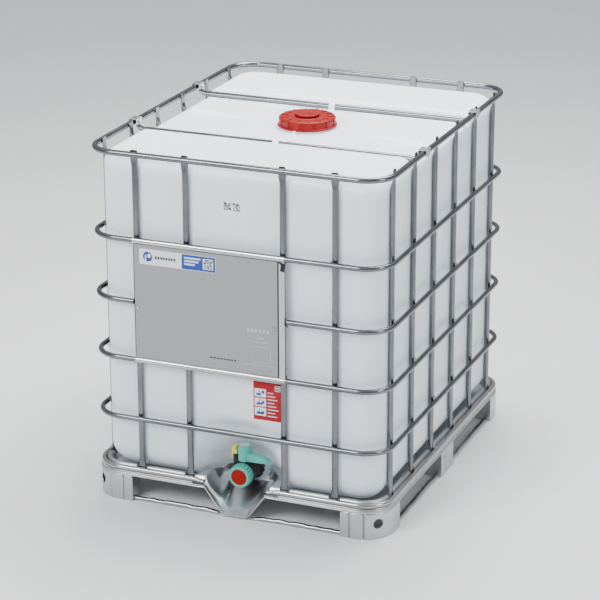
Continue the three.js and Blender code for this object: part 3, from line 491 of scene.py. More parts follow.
def post_loops(wall, along, edge, place):
    levels = sorted(set(
        [row[0] for row in POST_TABLE]
        + [z + d for z in RING_LEVELS.values() for d in (-14, -9, -4, 0, 4, 9, 14)]
        + [1156.0, 1158.5, 94.0]))
    loops = []
    for z in levels:
        width = table(z, [(r[0], r[1]) for r in POST_TABLE])
        depth = table(z, [(r[0], r[2]) for r in POST_TABLE])
        face = table(z, [(r[0], r[3]) for r in POST_TABLE])
        press = max([smooth(1 - abs(z - level) / 12) for level in RING_LEVELS.values()] + [0.0])
        width += 1.6 * press
        end = smooth((TOP - z) / 5) if z > 1154 else 1.0
        power = lerp(2.0, 3.2, clamp((20 - depth) / 14))
        loop = []
        for across, out in oval(width / 2 * lerp(0.72, 1, end), depth / 2, 20, power):
            if out > 0:
                out *= 1 - 0.16 * press
            distance = edge - face - depth / 2 + out
            x = wall[0] * distance + along[0] * (place + across)
            y = wall[1] * distance + along[1] * (place + across)
            loop.append((x, y, z))
        loops.append(loop)
    return loops


WALLS = (
    ("front", (0, -1), (1, 0), HALF_Y, FRONT_POSTS), ("rear", (0, 1), (1, 0), HALF_Y, FRONT_POSTS),
    ("left", (-1, 0), (0, 1), HALF_X, SIDE_POSTS), ("right", (1, 0), (0, 1), HALF_X, SIDE_POSTS),
)
for side, wall, along, edge, places in WALLS:
    for i, place in enumerate(places):
        part = skin(post_loops(wall, along, edge, place))
        post = f"post_{side}_{i + 1}"
        solid_of(post, part, SHADED_TUBE, BASE, "galvanised_tube", [f"cage_{post}"], sharp=50)


def weld_marks():
    """a small squashed bead on each side of every crossing"""
    rnd = random.Random(4)
    parts = []
    for side, wall, along, edge, places in WALLS:
        for place in places:
            for level, z in list(RING_LEVELS.items()) + [("top", TOP_RING_Z), ("base", BASE_RING_Z)]:
                if side == "front" and level == "middle" and PLATE_LEFT - 6 < place < PLATE_RIGHT + 10:
                    continue
                for sign in (-1, 1):
                    distance = edge - 18.6
                    low, high = rnd.uniform(1.6, 2.4), rnd.uniform(3.0, 5.0)
                    offset = sign * rnd.uniform(9.0, 10.5)
                    lift = rnd.uniform(-3, 3) + (-5 if rnd.random() < 0.5 else 5)
                    loops = []
                    for k in range(1, 6):
                        t = math.pi * k / 6
                        loops.append([(low * math.sin(t) * math.cos(2 * math.pi * j / 10)
                                       * rnd.uniform(0.85, 1.15),
                                       low * 0.8 * math.sin(t) * math.sin(2 * math.pi * j / 10),
                                       high * math.cos(t)) for j in range(10)])
                    verts, faces = skin(loops)
                    placed = []
                    for a, o, u in verts:
                        d = distance + o
                        s = place + offset + a
                        placed.append((wall[0] * d + along[0] * s, wall[1] * d + along[1] * s, z + lift + u))
                    parts.append((placed, faces))
    solid_of("weld_marks", merge(*parts), WELD, BASE, "galvanised_tube", [], sharp=80)


weld_marks()

# crossbars: the tube bends up and is pressed flat inside the top ring
TAB_X = TOP_X - TOP_RING_R - 0.3 - 2.0
BAR_STATIONS = (
    (TAB_X, 1149, 0, 3.6, 24), (TAB_X, 1146, 0, 4, 26), (TAB_X, 1136, 0, 4, 26),
    (TAB_X - 1.5, 1133.4, 0.25, 5, 26),
    (TAB_X - 5, 1131, 0.6, 7, 26), (TAB_X - 10, 1127.6, 0.9, 9.5, 25.5), (TAB_X - 17, 1125.5, 1.2, 12, 25),
    (TAB_X - 25, 1124.4, 1.42, 16, 22.5), (TAB_X - 34, BAR_Z, math.pi / 2, 20, 20),
    (300, BAR_Z, math.pi / 2, 20, 20),
    (100, BAR_Z, math.pi / 2, 20, 20),
)


def crossbar(y):
    right = []
    for x, z, lean, thick, width in BAR_STATIONS:
        power = 2.0 if thick > 14 else 3.0
        right.append([(x + out * math.cos(lean), y + across, z - out * math.sin(lean))
                      for across, out in oval(width / 2, thick / 2, 20, power)])
    left = [[(-px, py, pz) for px, py, pz in loop] for loop in right]
    return skin(right + left[::-1])


def hexagon(r, z0, z1, n=6):
    return lathe([(0.001, z0), (r * 0.97, z0), (r, z0 + 0.6), (r, z1 - 0.8), (r * 0.9, z1), (0.001, z1)], n)


def clip(y, side):
    inner = TAB_X - 2.3
    edge = HALF_X
    outline = [(inner - 2.2, 1140), (inner, 1140), (inner, TOP - 2.2), (edge - 1.2, TOP - 2.2),
               (edge - 1.2, 1136), (edge, 1136), (edge, TOP), (inner - 2.2, TOP)]
    strap = prism_y(closed_rounded(outline, 1.0, 3), y - 20, y + 20)
    turn = Matrix.Rotation(-math.pi / 2, 3, "Y")
    washer = lathe([(0.001, 0), (7.5, 0), (7.5, 1.4), (0.001, 1.4)], 28)
    screw = merge(washer, moved(hexagon(5.5, 0, 4.6), dz=1.2))
    screw = moved(turned_by(screw, turn), inner - 2.2, y, TOP_RING_Z)
    verts, faces = merge(strap, screw)
    if side < 0:
        verts = [(-x, yy, z) for x, yy, z in verts]
    return verts, faces


def retainer(y):
    inner, outer, foot = 10.5, 14.4, GROOVE_Z + 0.3
    arc = [math.pi * i / 14 for i in range(15)]
    outline = [(y + outer + 1.5, foot), (y + outer, foot + 3)]
    outline += [(y + outer * math.cos(a), BAR_Z + outer * math.sin(a)) for a in arc]
    outline += [(y - outer, foot + 3), (y - outer - 1.5, foot), (y - inner, foot)]
    outline += [(y + inner * math.cos(a), BAR_Z + inner * math.sin(a)) for a in reversed(arc)]
    outline += [(y + inner, foot)]
    return prism_x(outline, -10, 10, 2)


for end, y in (("front", -BAR_Y), ("rear", BAR_Y)):
    solid_of(f"bar_{end}", crossbar(y), SHADED_TUBE, BASE, "galvanised_tube", [f"crossbar_{end}"], sharp=50)
    for side_name, side in (("right", 1), ("left", -1)):
        solid_of(f"clip_{end}_{side_name}", clip(y, side), SHEET, BASE, "galvanised_tube",
                 [f"crossbar_clip_{end}_{side_name}"], bevel=0.5)
    solid_of(f"retainer_{end}", retainer(y), BOTTLE, BASE, "bottle_plastic", [f"crossbar_retainer_{end}"],
             bevel=1.0)


# ------------------------------------------------------------------------------
# label plate and its labels
# ------------------------------------------------------------------------------
def roll(z, turn):
    """the plate's edge rolled around a ring; (turn) is 1 over the upper ring and -1 under the lower one"""
    steps = 20
    clear, out = RING_R + 0.3, RING_R + 1.45
    outer, inner = [], []
    for i in range(steps + 1):
        a = lerp(0.0, math.pi * 0.75, i / steps)
        outer.append((-RING_Y - out * math.sin(a), z - out * math.cos(a) * turn))
        inner.append((-RING_Y - clear * math.sin(a), z - clear * math.cos(a) * turn))
    return outer + inner[::-1]


PLATE_LOW, PLATE_HIGH = RING_LEVELS["lower"] + 9.6, RING_LEVELS["upper"] - 9.6
STEP_X = 150.0
sheet_outline = [(PLATE_FACE, PLATE_LOW), (PLATE_FACE, PLATE_HIGH), (PLATE_FACE + 2, PLATE_HIGH + 0.6),
                 (PLATE_FACE + 2, PLATE_LOW - 0.6)]
solid_of("plate", prism_x(sheet_outline, PLATE_LEFT, STEP_X, 6), PLATE, BASE, "plate_steel", ["label_plate"],
         bevel=0.4, sharp=40)
strip = merge(
    prism_x([(y + 1.2, z) for y, z in sheet_outline], STEP_X + 1.6, PLATE_RIGHT - 0.6, 2),
    box(STEP_X - 0.4, STEP_X + 2.0, PLATE_FACE + 1.9, PLATE_FACE + 3.4, PLATE_LOW, PLATE_HIGH),
    box(PLATE_RIGHT - 2, PLATE_RIGHT, PLATE_FACE + 1.4, PLATE_FACE + 15, 500, 860),
)
solid_of("plate_strip", strip, SHEET, BASE, "plate_steel", [], bevel=0.4, sharp=40)
# dark strips and patches on the plate: painted shadow along the left edge, under the upper roll and below and
# beside the middle ring's cut ends; the lines at the step and at the strip's right end are dark joints
seams_and_shadows = merge(
    box(PLATE_LEFT - 0.4, PLATE_LEFT + 1.6, PLATE_FACE - 0.7, PLATE_FACE + 2.2,
        PLATE_LOW + 4, PLATE_HIGH - 6),
    box(STEP_X - 2.0, STEP_X + 0.6, PLATE_FACE - 0.6, PLATE_FACE + 2.6, PLATE_LOW, PLATE_HIGH),
    box(PLATE_RIGHT - 1.6, PLATE_RIGHT + 0.5, PLATE_FACE + 0.2, PLATE_FACE + 2.2, PLATE_LOW, PLATE_HIGH),
    box(PLATE_LEFT + 2, STEP_X, PLATE_FACE - 0.6, PLATE_FACE + 1, PLATE_HIGH - 1.2, PLATE_HIGH + 0.4),
    prism_y([(157, 838), (169, 835), (171, 860), (151, 866), (160, 856)], PLATE_FACE - 1.4, PLATE_FACE + 1.2),
    prism_y([(PLATE_RIGHT - 3, 668), (PLATE_RIGHT + 7, 660), (PLATE_RIGHT + 7, 665), (PLATE_RIGHT + 2, 672),
             (PLATE_RIGHT + 2, 684), (PLATE_RIGHT + 7, 690), (PLATE_RIGHT - 2, 687)],
            PLATE_FACE - 0.8, PLATE_FACE + 1.6),
    prism_y([(-326, 667), (-313, 659), (-321, 650), (-317, 658)], PLATE_FACE - 0.6, PLATE_FACE + 0.6),
)
solid_of("plate_seams_and_shadows", seams_and_shadows, INK, BASE, "plate_steel", [], sharp=40)
rolls = merge(prism_x(roll(RING_LEVELS["upper"], 1), PLATE_LEFT, PLATE_RIGHT, 6),
              prism_x(roll(RING_LEVELS["lower"], -1), PLATE_LEFT, PLATE_RIGHT, 6))
solid_of("plate_rolls", rolls, EDGE, BASE, "plate_steel", [], sharp=40)


def rivet(x, z, r):
    """a domed rivet head on the plate's face"""
    head = lathe([(r, 0.0), (r * 0.96, 0.7), (r * 0.7, 1.5), (r * 0.35, 1.9), (0.001, 2.0)], 24)
    return moved(turned_by(head, Matrix.Rotation(math.pi / 2, 3, "X")), x, PLATE_FACE, z)


rivets = merge(rivet(-320, 657, 4.5), rivet(-326, 630, 2.2), rivet(-326, 560, 2.2), rivet(-326, 540, 2.2))
solid_of("plate_rivets", rivets, SHEET, BASE, "plate_steel", [])


def on_plate(name, shapes, material, lift, slot="plate_steel"):
    """flat shapes in (x, z) laid on the plate's face as a thin film"""
    parts = [prism_y(shape, PLATE_FACE - lift, PLATE_FACE - lift + 0.25) for shape in shapes]
    return solid_of(name, merge(*parts), material, BASE, slot, [])


def rect(x0, x1, z0, z1):
    return [(x0, z0), (x1, z0), (x1, z1), (x0, z1)]


def frame_shapes(x0, x1, z0, z1, w):
    return [rect(x0, x1, z0, z0 + w), rect(x0, x1, z1 - w, z1), rect(x0, x0 + w, z0 + w, z1 - w),
            rect(x1 - w, x1, z0 + w, z1 - w)]


def disc(x, z, r, n=32):
    return [(x + r * math.cos(2 * math.pi * i / n), z + r * math.sin(2 * math.pi * i / n)) for i in range(n)]


def speckle(x0, z0, size, cells, seed):
    """a generic pattern of small squares with no meaning"""
    rnd = random.Random(seed)
    step = size / cells
    return [rect(x0 + i * step, x0 + (i + 0.96) * step, z0 + j * step, z0 + (j + 0.96) * step)
            for i in range(cells) for j in range(cells) if rnd.random() < 0.52]


# ------------------------------------------------------------------------------
# bottle
# ------------------------------------------------------------------------------
B_X, B_Y, B_R, B_LOW, B_TOP = 464.0, 564.0, 72.0, 91.5, 1138.0
LOW_FILLET, TOP_FILLET = 80.0, 42.0
DECK_Z, DECK_HALF = 1118.0, 205.0
RECESS_DEPTH = (
    (0.0, 140.0), (44.0, 139.0), (70.0, 126.0), (106.0, 91.0), (134.0, 46.0), (152.0, 8.0), (160.0, 0.0),
)


def recess(x, z):
    """how far the front wall is set back around the outlet; its flanks grow softer above the chute"""
    lean = table(z, ((61.5, 0.0), (158.0, 0.05), (332.0, 0.97), (344.0, 1.0)))
    across = abs(x) / (1 - 0.42 * lean)
    blur = lerp(6.0, 26.0, smooth((z - 125.0) / 50.0))
    depth = sum(table(across + blur * d, RECESS_DEPTH) for d in (-1, -0.6, -0.2, 0.2, 0.6, 1)) / 6
    share = max(0.0, 1 - 1.043 * lean)
    return depth * share * share / (share + 0.05) * 1.05


def top_drop(y):
    """how far the top lies below the end sections"""
    ay = abs(y)
    deck = (B_TOP - DECK_Z) * (1 - smooth((ay - DECK_HALF) / 26.0))
    groove = (B_TOP - GROOVE_Z) * (1 - smooth((abs(ay - BAR_Y) - 15.0) / 26.0))
    return max(deck, groove)


def deck_relief(x, y):
    """on the middle deck: a tapered ramp each side of the lid, and a shallow dish around the neck"""
    out = 0.0
    for x_wide, x_tip, y_wide, y_tip in ((-440.0, -200.0, 52.0, 14.0), (450.0, 205.0, -62.0, -14.0)):
        u = (x - x_tip) / (x_wide - x_tip)
        if 0 < u < 1.2:
            middle = lerp(y_tip, y_wide, u)
            half = lerp(5.0, 26.0, clamp(u))
            v = abs(y - middle) / half
            out += 11.0 * smooth(u * 1.6) * clamp((1 - v) * 1.1)
    around = math.hypot(x, y - LID_Y)
    out -= 2.5 * smooth((150.0 - around) / 30.0)
    return out


def stop_lug():
    """a small moulded stop in front of the lid"""
    outline = [(-4.0, DECK_Z - 3), (-3.4, DECK_Z + 12), (-2.2, DECK_Z + 15.4), (2.2, DECK_Z + 15.8),
               (3.4, DECK_Z + 13), (4.0, DECK_Z - 3)]
    loops = []
    for t in (0.0, 0.2, 0.8, 1.0):
        pull = 0.75 if t in (0.0, 1.0) else 1.0
        loops.append([(8 + x * pull, lerp(-123, -113, t), z if z < DECK_Z else lerp(DECK_Z, z, pull))
                      for x, z in outline])
    return skin(loops)


def bottle_loops():
    loops = []
    flat_step = 9.0

    def outline(hx, hy, r):
        pts = []
        count_x = round(2 * (B_X - B_R) / flat_step)
        count_y = round(2 * (B_Y - B_R) / flat_step)
        for sx, sy, start in ((1, -1, -90), (1, 1, 0), (-1, 1, 90), (-1, -1, 180)):
            for i in range(15):
                a = math.radians(start + 90 * i / 14)
                pts.append((sx * (hx - r) + r * math.cos(a), sy * (hy - r) + r * math.sin(a)))
            n = count_y if start in (-90, 90) else count_x
            x0, y0 = pts[-1]
            length = 2 * (hy - r) if start in (-90, 90) else 2 * (hx - r)
            a = math.radians(start + 90)
            for i in range(1, n):
                d = length * i / n
                pts.append((x0 - math.sin(a) * d, y0 + math.cos(a) * d))
        return pts

    def front_set_back(x, y, z, inset):
        if y > -B_Y + inset + 1.0 and abs(x) > 170:
            return y
        weight = smooth((-y - (B_Y - inset) + 3.0) / 3.0)
        return y + recess(x, z) * weight

    steps = 12
    for i in range(1, 9):
        scale = i / 8
        inset = lerp(400, LOW_FILLET, scale)
        radius = max(10, B_R - inset * 0.6)
        loops.append([(x, y, B_LOW) for x, y in outline(B_X - inset, B_Y - inset, radius)])
    for i in range(1, steps + 1):
        a = math.pi / 2 * i / steps
        inset = LOW_FILLET * (1 - math.sin(a))
        z = B_LOW + LOW_FILLET * (1 - math.cos(a))
        loops.append([(x, front_set_back(x, y, z, inset), z)
                      for x, y in outline(B_X - inset, B_Y - inset, B_R - inset * 0.6)])
    z = B_LOW + LOW_FILLET
    top = B_TOP - TOP_FILLET
    levels = [z + 9 * i for i in range(1, 22)]
    levels += [lerp(levels[-1], top, i / 30) for i in range(1, 31)]
    base = outline(B_X, B_Y, B_R)
    for z in levels:
        loops.append([(x, front_set_back(x, y, z, 0), z) for x, y in base])
    for i in range(1, steps + 1):
        a = math.pi / 2 * i / steps
        inset = TOP_FILLET * (1 - math.cos(a))
        drop = TOP_FILLET * (1 - math.sin(a))
        share = smooth(1 - drop / TOP_FILLET)
        loops.append([(x, y, B_TOP - drop - top_drop(y) * share)
                      for x, y in outline(B_X - inset, B_Y - inset, B_R - inset * 0.6)])
    rows = 48
    for i in range(1, rows + 1):
        inset = lerp(TOP_FILLET, B_X - 3, i / rows)
        loops.append([(x, y, B_TOP - top_drop(y) + deck_relief(x, y))
                      for x, y in outline(B_X - inset, B_Y - inset, max(2.0, B_R - inset * 0.6))])
    return loops


def bottle():
    verts, faces = skin(bottle_loops())
    keep = []
    for face in faces:
        cx = sum(verts[i][0] for i in face) / len(face)
        cy = sum(verts[i][1] for i in face) / len(face)
        cz = sum(verts[i][2] for i in face) / len(face)
        if cz > 1000 and math.hypot(cx, cy - LID_Y) < 74 and len(face) == 4:
            continue
        keep.append(face)
    neck = moved(lathe(rounded_profile([
        (72, 1090), (72, 1138), (79, 1138), (79, 1128), (79.4, 1127), (79.4, 1125), (79, 1124), (79, 1120),
        (84, 1117), (104, 1115),
    ], 1.2, 3), 96), dy=LID_Y)
    turn = Matrix.Rotation(math.pi / 2, 3, "X")
    outlet = lathe(rounded_profile([
        (25, -10), (25, 36), (31, 36), (31, 6), (36, 0), (48, -12),
    ], 2.0, 3), 64)
    outlet = moved(turned_by(outlet, turn), 0, -422, VALVE_Z)
    return merge((verts, keep), neck, outlet, stop_lug())


solid_of("bottle_shell", bottle(), BOTTLE, BASE, "bottle_plastic", ["bottle"], sharp=60)


def on_bottle(name, shapes, material, lift):
    parts = [prism_y(shape, -B_Y - lift, -B_Y - lift + 0.3) for shape in shapes]
    return solid_of(name, merge(*parts), material, BASE, "bottle_plastic", [])


# ------------------------------------------------------------------------------
# pallet
# ------------------------------------------------------------------------------
TRAY_EDGE = (
    (60, 88), (44, 88), (41, 89.5), (37.5, 107), (35.5, 111.5), (32.5, 114.2), (29, 115.4), (26, 115.0),
    (23.6, 113.4), (22.2, 110), (22.2, 96.4), (21.6, 95.6), (8.2, 95.6), (7.2, 94.6), (7.2, 91.4), (6.4, 90.2),
    (4.2, 89.0), (3.4, 86.4), (2.4, 85.6), (0.8, 85.6), (0, 86.4), (0, 89.4), (1.2, 90.8), (3.4, 91.8),
    (4.4, 93.0), (4.4, 96.8), (5.6, 98.8), (17.6, 99), (19.0, 100.2), (19.2, 111), (20.8, 115.8),
    (24, 118), (29, 118.6), (34.2, 117.4), (37.6, 114), (40.2, 108), (43.5, 93.2), (46, 91.2), (60, 91),
)


def tray_section(i, p):
    x, y = p[0], p[1]
    if abs(y) > 560:
        d = min(abs(x - q) for q in FRONT_POSTS)
    elif abs(x) > 460:
        d = min(abs(y - q) for q in SIDE_POSTS)
    else:
        d = 999
    sunk = 1 - smooth((d - 15.0) / 4.0)
    wobble = 0.5 * noise.noise(Vector((x * 0.02, y * 0.02, 3.0)))
    out = []
    for inset, z in TRAY_EDGE:
        if 18 < inset < 43 and z > 96:
            z = lerp(z + wobble, 94.0 + (z - 96) * 0.08, sunk)
        out.append((-inset, z))
    return out


def tray():
    path = open_path(HALF_X, HALF_Y, 100, 146.3, -146.3, 16, 4)
    rim = sweep(path, tray_section, 0.0, False)
    floor_edge = [(p[0] - p[2] * 60, p[1] - p[3] * 60) for p in path]
    notch = [(-(w + 0.3), y) for y, w in CHUTE_PLAN[1:]] + [(w + 0.3, y) for y, w in reversed(CHUTE_PLAN[1:])]
    outline = floor_edge + [(x, max(y, -540.0)) for x, y in notch if y > -545]
    floor_plate = prism(outline, 88.02, 90.98)
    return merge(rim, floor_plate)


solid_of("tray", tray(), SHEET, BASE, "galvanised_sheet", ["pallet_tray"], sharp=40)


def chute_half(y):
    return table(y, CHUTE_PLAN)


def chute_height(x, y):
    """the drawn spout: a rounded valley, a long fold down each flank and a small dimple at the lip"""
    back = clamp((y + 600) / 160.0)
    valley = lerp(0.0, 68.0, min(1.0, back * 1.15))
    if y > -450:
        valley = lerp(valley, 88.0, (y + 450) / 10)
    lift = smooth((y + 588) / 20.0)
    shoulder = lerp(93.0, 114.0, lift)
    floor_half = lerp(38.0, 50.0, back)
    wall_top = min(lerp(107.0, 118.0, back), chute_half(y) - 2)
    t = clamp((abs(x) - floor_half) / max(1.0, wall_top - floor_half))
    rounding = 0.06 * smooth(1 - abs(t - 0.02) * 6)
    fold = 0.10 * math.sin(t * 2 * math.pi) * smooth(back * 4)
    z = valley + (max(shoulder, valley) - valley) * clamp(t + rounding + fold)
    soft = smooth(back * 5) * smooth((1 - back) * 3)
    gully = -6.0 * math.exp(-((abs(x) - floor_half - 14.0 - 44 * back) / 15.0) ** 2) * soft
    ridge = 6.0 * math.exp(-((abs(x) - floor_half * 0.9 - 24 * back) / 14.0) ** 2) * soft
    dimple = -2.0 * math.exp(-(((x + 4) / 6.0) ** 2 + ((y + 574) / 6.0) ** 2))
    ripple = 3.0 * noise.noise(Vector((x * 0.016, y * 0.016, 7.0))) * soft
    return z + gully + ridge + dimple + ripple


def chute():
    rows = [-600 + 160 * i / 56 for i in range(57)]
    columns = 76
    loops = []
    for y in rows:
        half = chute_half(y)
        low = []
        for i in range(columns + 1):
            x = lerp(-half, half, i / columns)
            low.append((x, y, max(0.0, chute_height(x, y))))
        high = [(x, yy, z + 2.8) for x, yy, z in reversed(low)]
        loops.append(low + high)
    verts, faces = skin(loops, caps=False)
    n = len(loops[0])
    for base, flip in ((0, True), ((len(loops) - 1) * n, False)):
        for i in range(columns):
            quad = (base + i, base + i + 1, base + n - 2 - i, base + n - 1 - i)
            faces.append(tuple(reversed(quad)) if flip else quad)
    return verts, faces


# painted light: the chute uses the lighter sheet copy
solid_of("chute", chute(), LIT_CHUTE_SHEET, BASE, "galvanised_sheet", ["drip_chute"], sharp=50)


def mouth_bead():
    """the sheet's front edge, rolled into a thin bead from wing to wing"""
    loops = []
    radius = 2.0
    count = 120
    for i in range(count + 1):
        x = lerp(-145.5, 145.5, i / count)
        step = 1.0
        rise = chute_height(x + step, -600) - chute_height(x - step, -600)
        lean = math.atan2(rise, 2 * step)
        z = clamp(chute_height(x, -600) + 1.4, radius, 87.8)
        loop = []
        for out, up in oval(radius, radius, 10):
            loop.append((x - up * math.sin(lean), -600 + radius + out, max(0.0, z + up * math.cos(lean))))
        loops.append(loop)
    return skin(loops)


aprons = [box(x0, x1, -598.6, -596.6, 88.0, 95.5) for x0, x1 in ((-145.6, -101), (101, 145.6))]
solid_of("chute_bead", merge(mouth_bead(), *aprons), EDGE, BASE, "galvanised_sheet", [], sharp=60)


def crimp(side):
    """the tray's rim folded over the base ring's end, pinched and crumpled"""
    loops = []
    count, around = 22, 20
    for i in range(count + 1):
        t = i / count
        x = 108.5 + 31 * t
        outer, inner = [], []
        for k in range(around + 1):
            a = -0.2 + 3.7 * k / around
            fold = noise.noise(Vector((x * 0.16, a * 2.2, side * 5.0)))
            pinch = 0.80 + 0.24 * fold - 0.10 * abs(math.sin(t * 9.0))
            r = 9.9 * clamp(pinch, 0.5, 1.0)
            flat = lerp(0.62, 1.0, smooth(t))
            outer.append((side * x, -590 + r * math.cos(a), 106 + (r + 2.0 * fold) * math.sin(a) * flat))
            inner.append((side * x, -590 + r * 0.8 * math.cos(a), 106 + (r * 0.8) * math.sin(a) * flat - 0.8))
        loops.append(outer + inner[::-1])
    return skin(loops)


for name, side in (("right", 1), ("left", -1)):
    solid_of(f"crimp_{name}", crimp(side), SHEET, BASE, "galvanised_sheet", [f"rim_crimp_{name}"], sharp=60)


def runner():
    path = open_path(483, 583, 83, 62, -62, 14, 9)
    total = len(path)

    def section(i, p):
        x, y = p[0], p[1]
        at_end = smooth(1 - min(i, total - 1 - i) / 6.0)
        under_foot = 0.0
        if abs(x) > 340 and abs(y) > 445:
            under_foot = smooth((abs(x) - 340) / 25.0) * smooth((abs(y) - 445) / 25.0)
        flat = max(at_end * 0.45, under_foot * 0.2)
        wave = 0.7 * noise.noise(Vector((x * 0.015, y * 0.015, 1.0)))
        dent = 0.16 * smooth(noise.noise(Vector((x * 0.03, y * 0.03, 4.0))) * 3.0)
        flat = max(flat, dent)
        return [(out * (1 + flat * 0.3) + wave, 7 + up * (1 - flat) - 7 * flat * 0.9)
                for out, up in oval(7.6, 7.0, 18, 2.2)]
    return sweep(path, section, 0.0, False)


# painted light: the runner gets the lighter tube copy
solid_of("runner_tube", runner(), LIT_TUBE, BASE, "galvanised_tube", ["runner"], sharp=60)


def mitred(points):
    out = []
    for i, (x, y) in enumerate(points):
        normals = []
        for a, b in ((i - 1, i), (i, i + 1)):
            if a >= 0 and b < len(points):
                dx, dy = points[b][0] - points[a][0], points[b][1] - points[a][1]
                length = math.hypot(dx, dy)
                normals.append((dy / length, -dx / length))
        sx, sy = sum(n[0] for n in normals), sum(n[1] for n in normals)
        scale = len(normals) / (sx * sx + sy * sy)
        out.append((x, y, sx * scale, sy * scale))
    return out


def groove_points(start, end, at, width, depth, normal):
    """two straight runs with a shallow pressed groove between them"""
    (x0, y0), (x1, y1) = start, end
    length = math.hypot(x1 - x0, y1 - y0)
    ux, uy = (x1 - x0) / length, (y1 - y0) / length
    pts = []
    for d, k in ((-width, 0), (-width * 0.5, 0.7), (0, 1), (width * 0.5, 0.7), (width, 0)):
        pts.append((x0 + ux * (at + d) - normal[0] * depth * k, y0 + uy * (at + d) - normal[1] * depth * k))
    return pts


FOOT_PROFILE = [(-1.2, 0.0), (-0.2, 0.5), (0.0, 1.6), (0.0, 81.5), (-0.6, 83.6), (-2.0, 85.2),
                (-3.0, 85.4), (-3.0, 1.0), (-2.4, 0.0)]


def foot_sheet(outline):
    return sweep(mitred(outline), FOOT_PROFILE, 0.0, False)


def corner_foot(sx, sy):
    outline = [(354, -545), (354, -598.5), (355.5, -600)]
    outline += groove_points((354, -600), (500, -600), 31, 2.4, 4.0, (0, -1))
    for i in range(1, 40):
        a = -math.pi / 2 * (1 - i / 40)
        dip = 4.0 if i == 8 else 0.0
        outline.append((400 + (100 - dip) * math.cos(a), -500 + (100 - dip) * math.sin(a)))
    outline += groove_points((500, -500), (500, -457), 14, 3.0, 2.2, (1, 0))
    outline += [(500, -458.5), (498.5, -457), (445, -457)]
    verts, faces = foot_sheet(outline)
    flip = sx * sy < 0
    verts = [(x * sx, y * -sy, z) for x, y, z in verts]
    return verts, [tuple(reversed(f)) for f in faces] if flip else faces


def drill(obj, centre, axis, radius, length=60.0):
    """cut a round hole through a piece"""
    bpy.ops.mesh.primitive_cylinder_add(radius=radius * MM, depth=length * MM, vertices=48)
    tool = bpy.context.object
    tool.location = Vector(centre) * MM
    tool.rotation_euler = Vector(axis).to_track_quat("Z", "Y").to_euler()
    bpy.context.view_layer.update()
    mod = obj.modifiers.new("hole", "BOOLEAN")
    mod.object = tool
    mod.solver = "EXACT"
    deps = bpy.context.evaluated_depsgraph_get()
    mesh = bpy.data.meshes.new_from_object(obj.evaluated_get(deps))
    obj.modifiers.clear()
    obj.data = mesh
    bpy.data.objects.remove(tool)


def foot_object(name, part, holes, node):
    obj = make(name, part[0], part[1], SHEET, sharp=40)
    for centre, axis, radius in holes:
        drill(obj, centre, axis, radius)
    finish_mesh(obj, 40)
    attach(obj, BASE)
    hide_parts(node)


def lip(centre, axis, radius):
    """a rolled edge around a punched hole"""
    ring_profile = [(radius + 1.8, -0.6), (radius + 1.2, 0.3), (radius + 0.2, 0.3), (radius - 0.8, -0.6),
                    (radius - 0.9, -3.4), (radius - 0.2, -3.4), (radius + 0.3, -1.6), (radius + 1.8, -0.6)]
    part = lathe(ring_profile, 48)
    turn = Vector(axis).to_track_quat("Z", "Y").to_matrix()
    return moved(turned_by(part, turn), *centre)


FOOT_HOLE = 16.8
lips = []
for end, sy in (("front", -1), ("rear", 1)):
    for side_name, sx in (("left", -1), ("right", 1)):
        shift = 100 * (1 - math.sqrt(0.5))
        centre = (sx * (500 - shift), sy * (600 - shift), 50)
        axis = (sx, sy, 0)
        name = f"corner_foot_{end}_{side_name}"
        foot_object(f"foot_{end}_{side_name}", corner_foot(sx, sy), [(centre, axis, FOOT_HOLE)], name)
        lips.append(lip(centre, axis, FOOT_HOLE))
solid_of("foot_hole_lips", merge(*lips), SHEET, BASE, "galvanised_sheet", [], sharp=60)


def centre_foot(face, turn):
    outline = [(-58, -face + 65), (-58, -face + 1.5), (-56.5, -face)]
    outline += groove_points((-58, -face), (58, -face), 30, 3.0, 2.0, (0, -1))
    outline += groove_points((-58, -face), (58, -face), 58, 5.0, 2.6, (0, -1))
    outline += groove_points((-58, -face), (58, -face), 86, 3.0, 2.0, (0, -1))
    outline += [(56.5, -face), (58, -face + 1.5), (58, -face + 65)]
    return turned_by(foot_sheet(outline), Matrix.Rotation(turn, 3, "Z"))


for side_name, face, turn in (
        ("right", HALF_X, math.pi / 2), ("left", HALF_X, -math.pi / 2), ("rear", HALF_Y, math.pi)):
    spin = Matrix.Rotation(turn, 3, "Z")
    centre = spin @ Vector((-29, -face, 60))
    outward = tuple(spin @ Vector((0, -1, 0)))
    foot_object(f"foot_{side_name}", centre_foot(face, turn), [(tuple(centre), outward, 5.0)],
                f"centre_foot_{side_name}")


# ------------------------------------------------------------------------------
# lid
# ------------------------------------------------------------------------------
def about_lid(part):
    return moved(part, dy=LID_Y)


def lid():
    panels = ribbed(3.2, 14, 0.74, 0.05)
    profile = rounded_profile([
        (79.8, 1141.6), (79.8, 1121), (96, 1121), (96, 1125.4), (93.4, 1127.0), (92, 1128.2), (92, 1145.6),
        (90.0, 1148.8), (86, 1150.4), (72, 1151), (62, 1150.6), (60.5, 1149.6), (50, 1149.4), (46.5, 1150.6),
        (44.5, 1151), (30, 1151), (30, 1141.6),
    ], 1.2, 3)

    def shape(a, r, z):
        return panels(a) if r > 88.5 and 1127.5 < z < 1147.5 else 0.0
    body = lathe(profile, 280, shape)
    ceiling = lathe([(30, 1141.6), (79.8, 1141.6)], 280)
    webs = []
    for i in range(14):
        a = 2 * math.pi * (i + 0.5) / 14
        web = box(63, 86, -1.2, 1.2, 1150.0, 1152.4)
        webs.append(turned_by(web, Matrix.Rotation(a, 3, "Z")))
    return about_lid(merge(body, ceiling, *webs))


solid_of("lid_shell", lid(), RED, "lid", "lid_plastic", ["lid"], sharp=40)


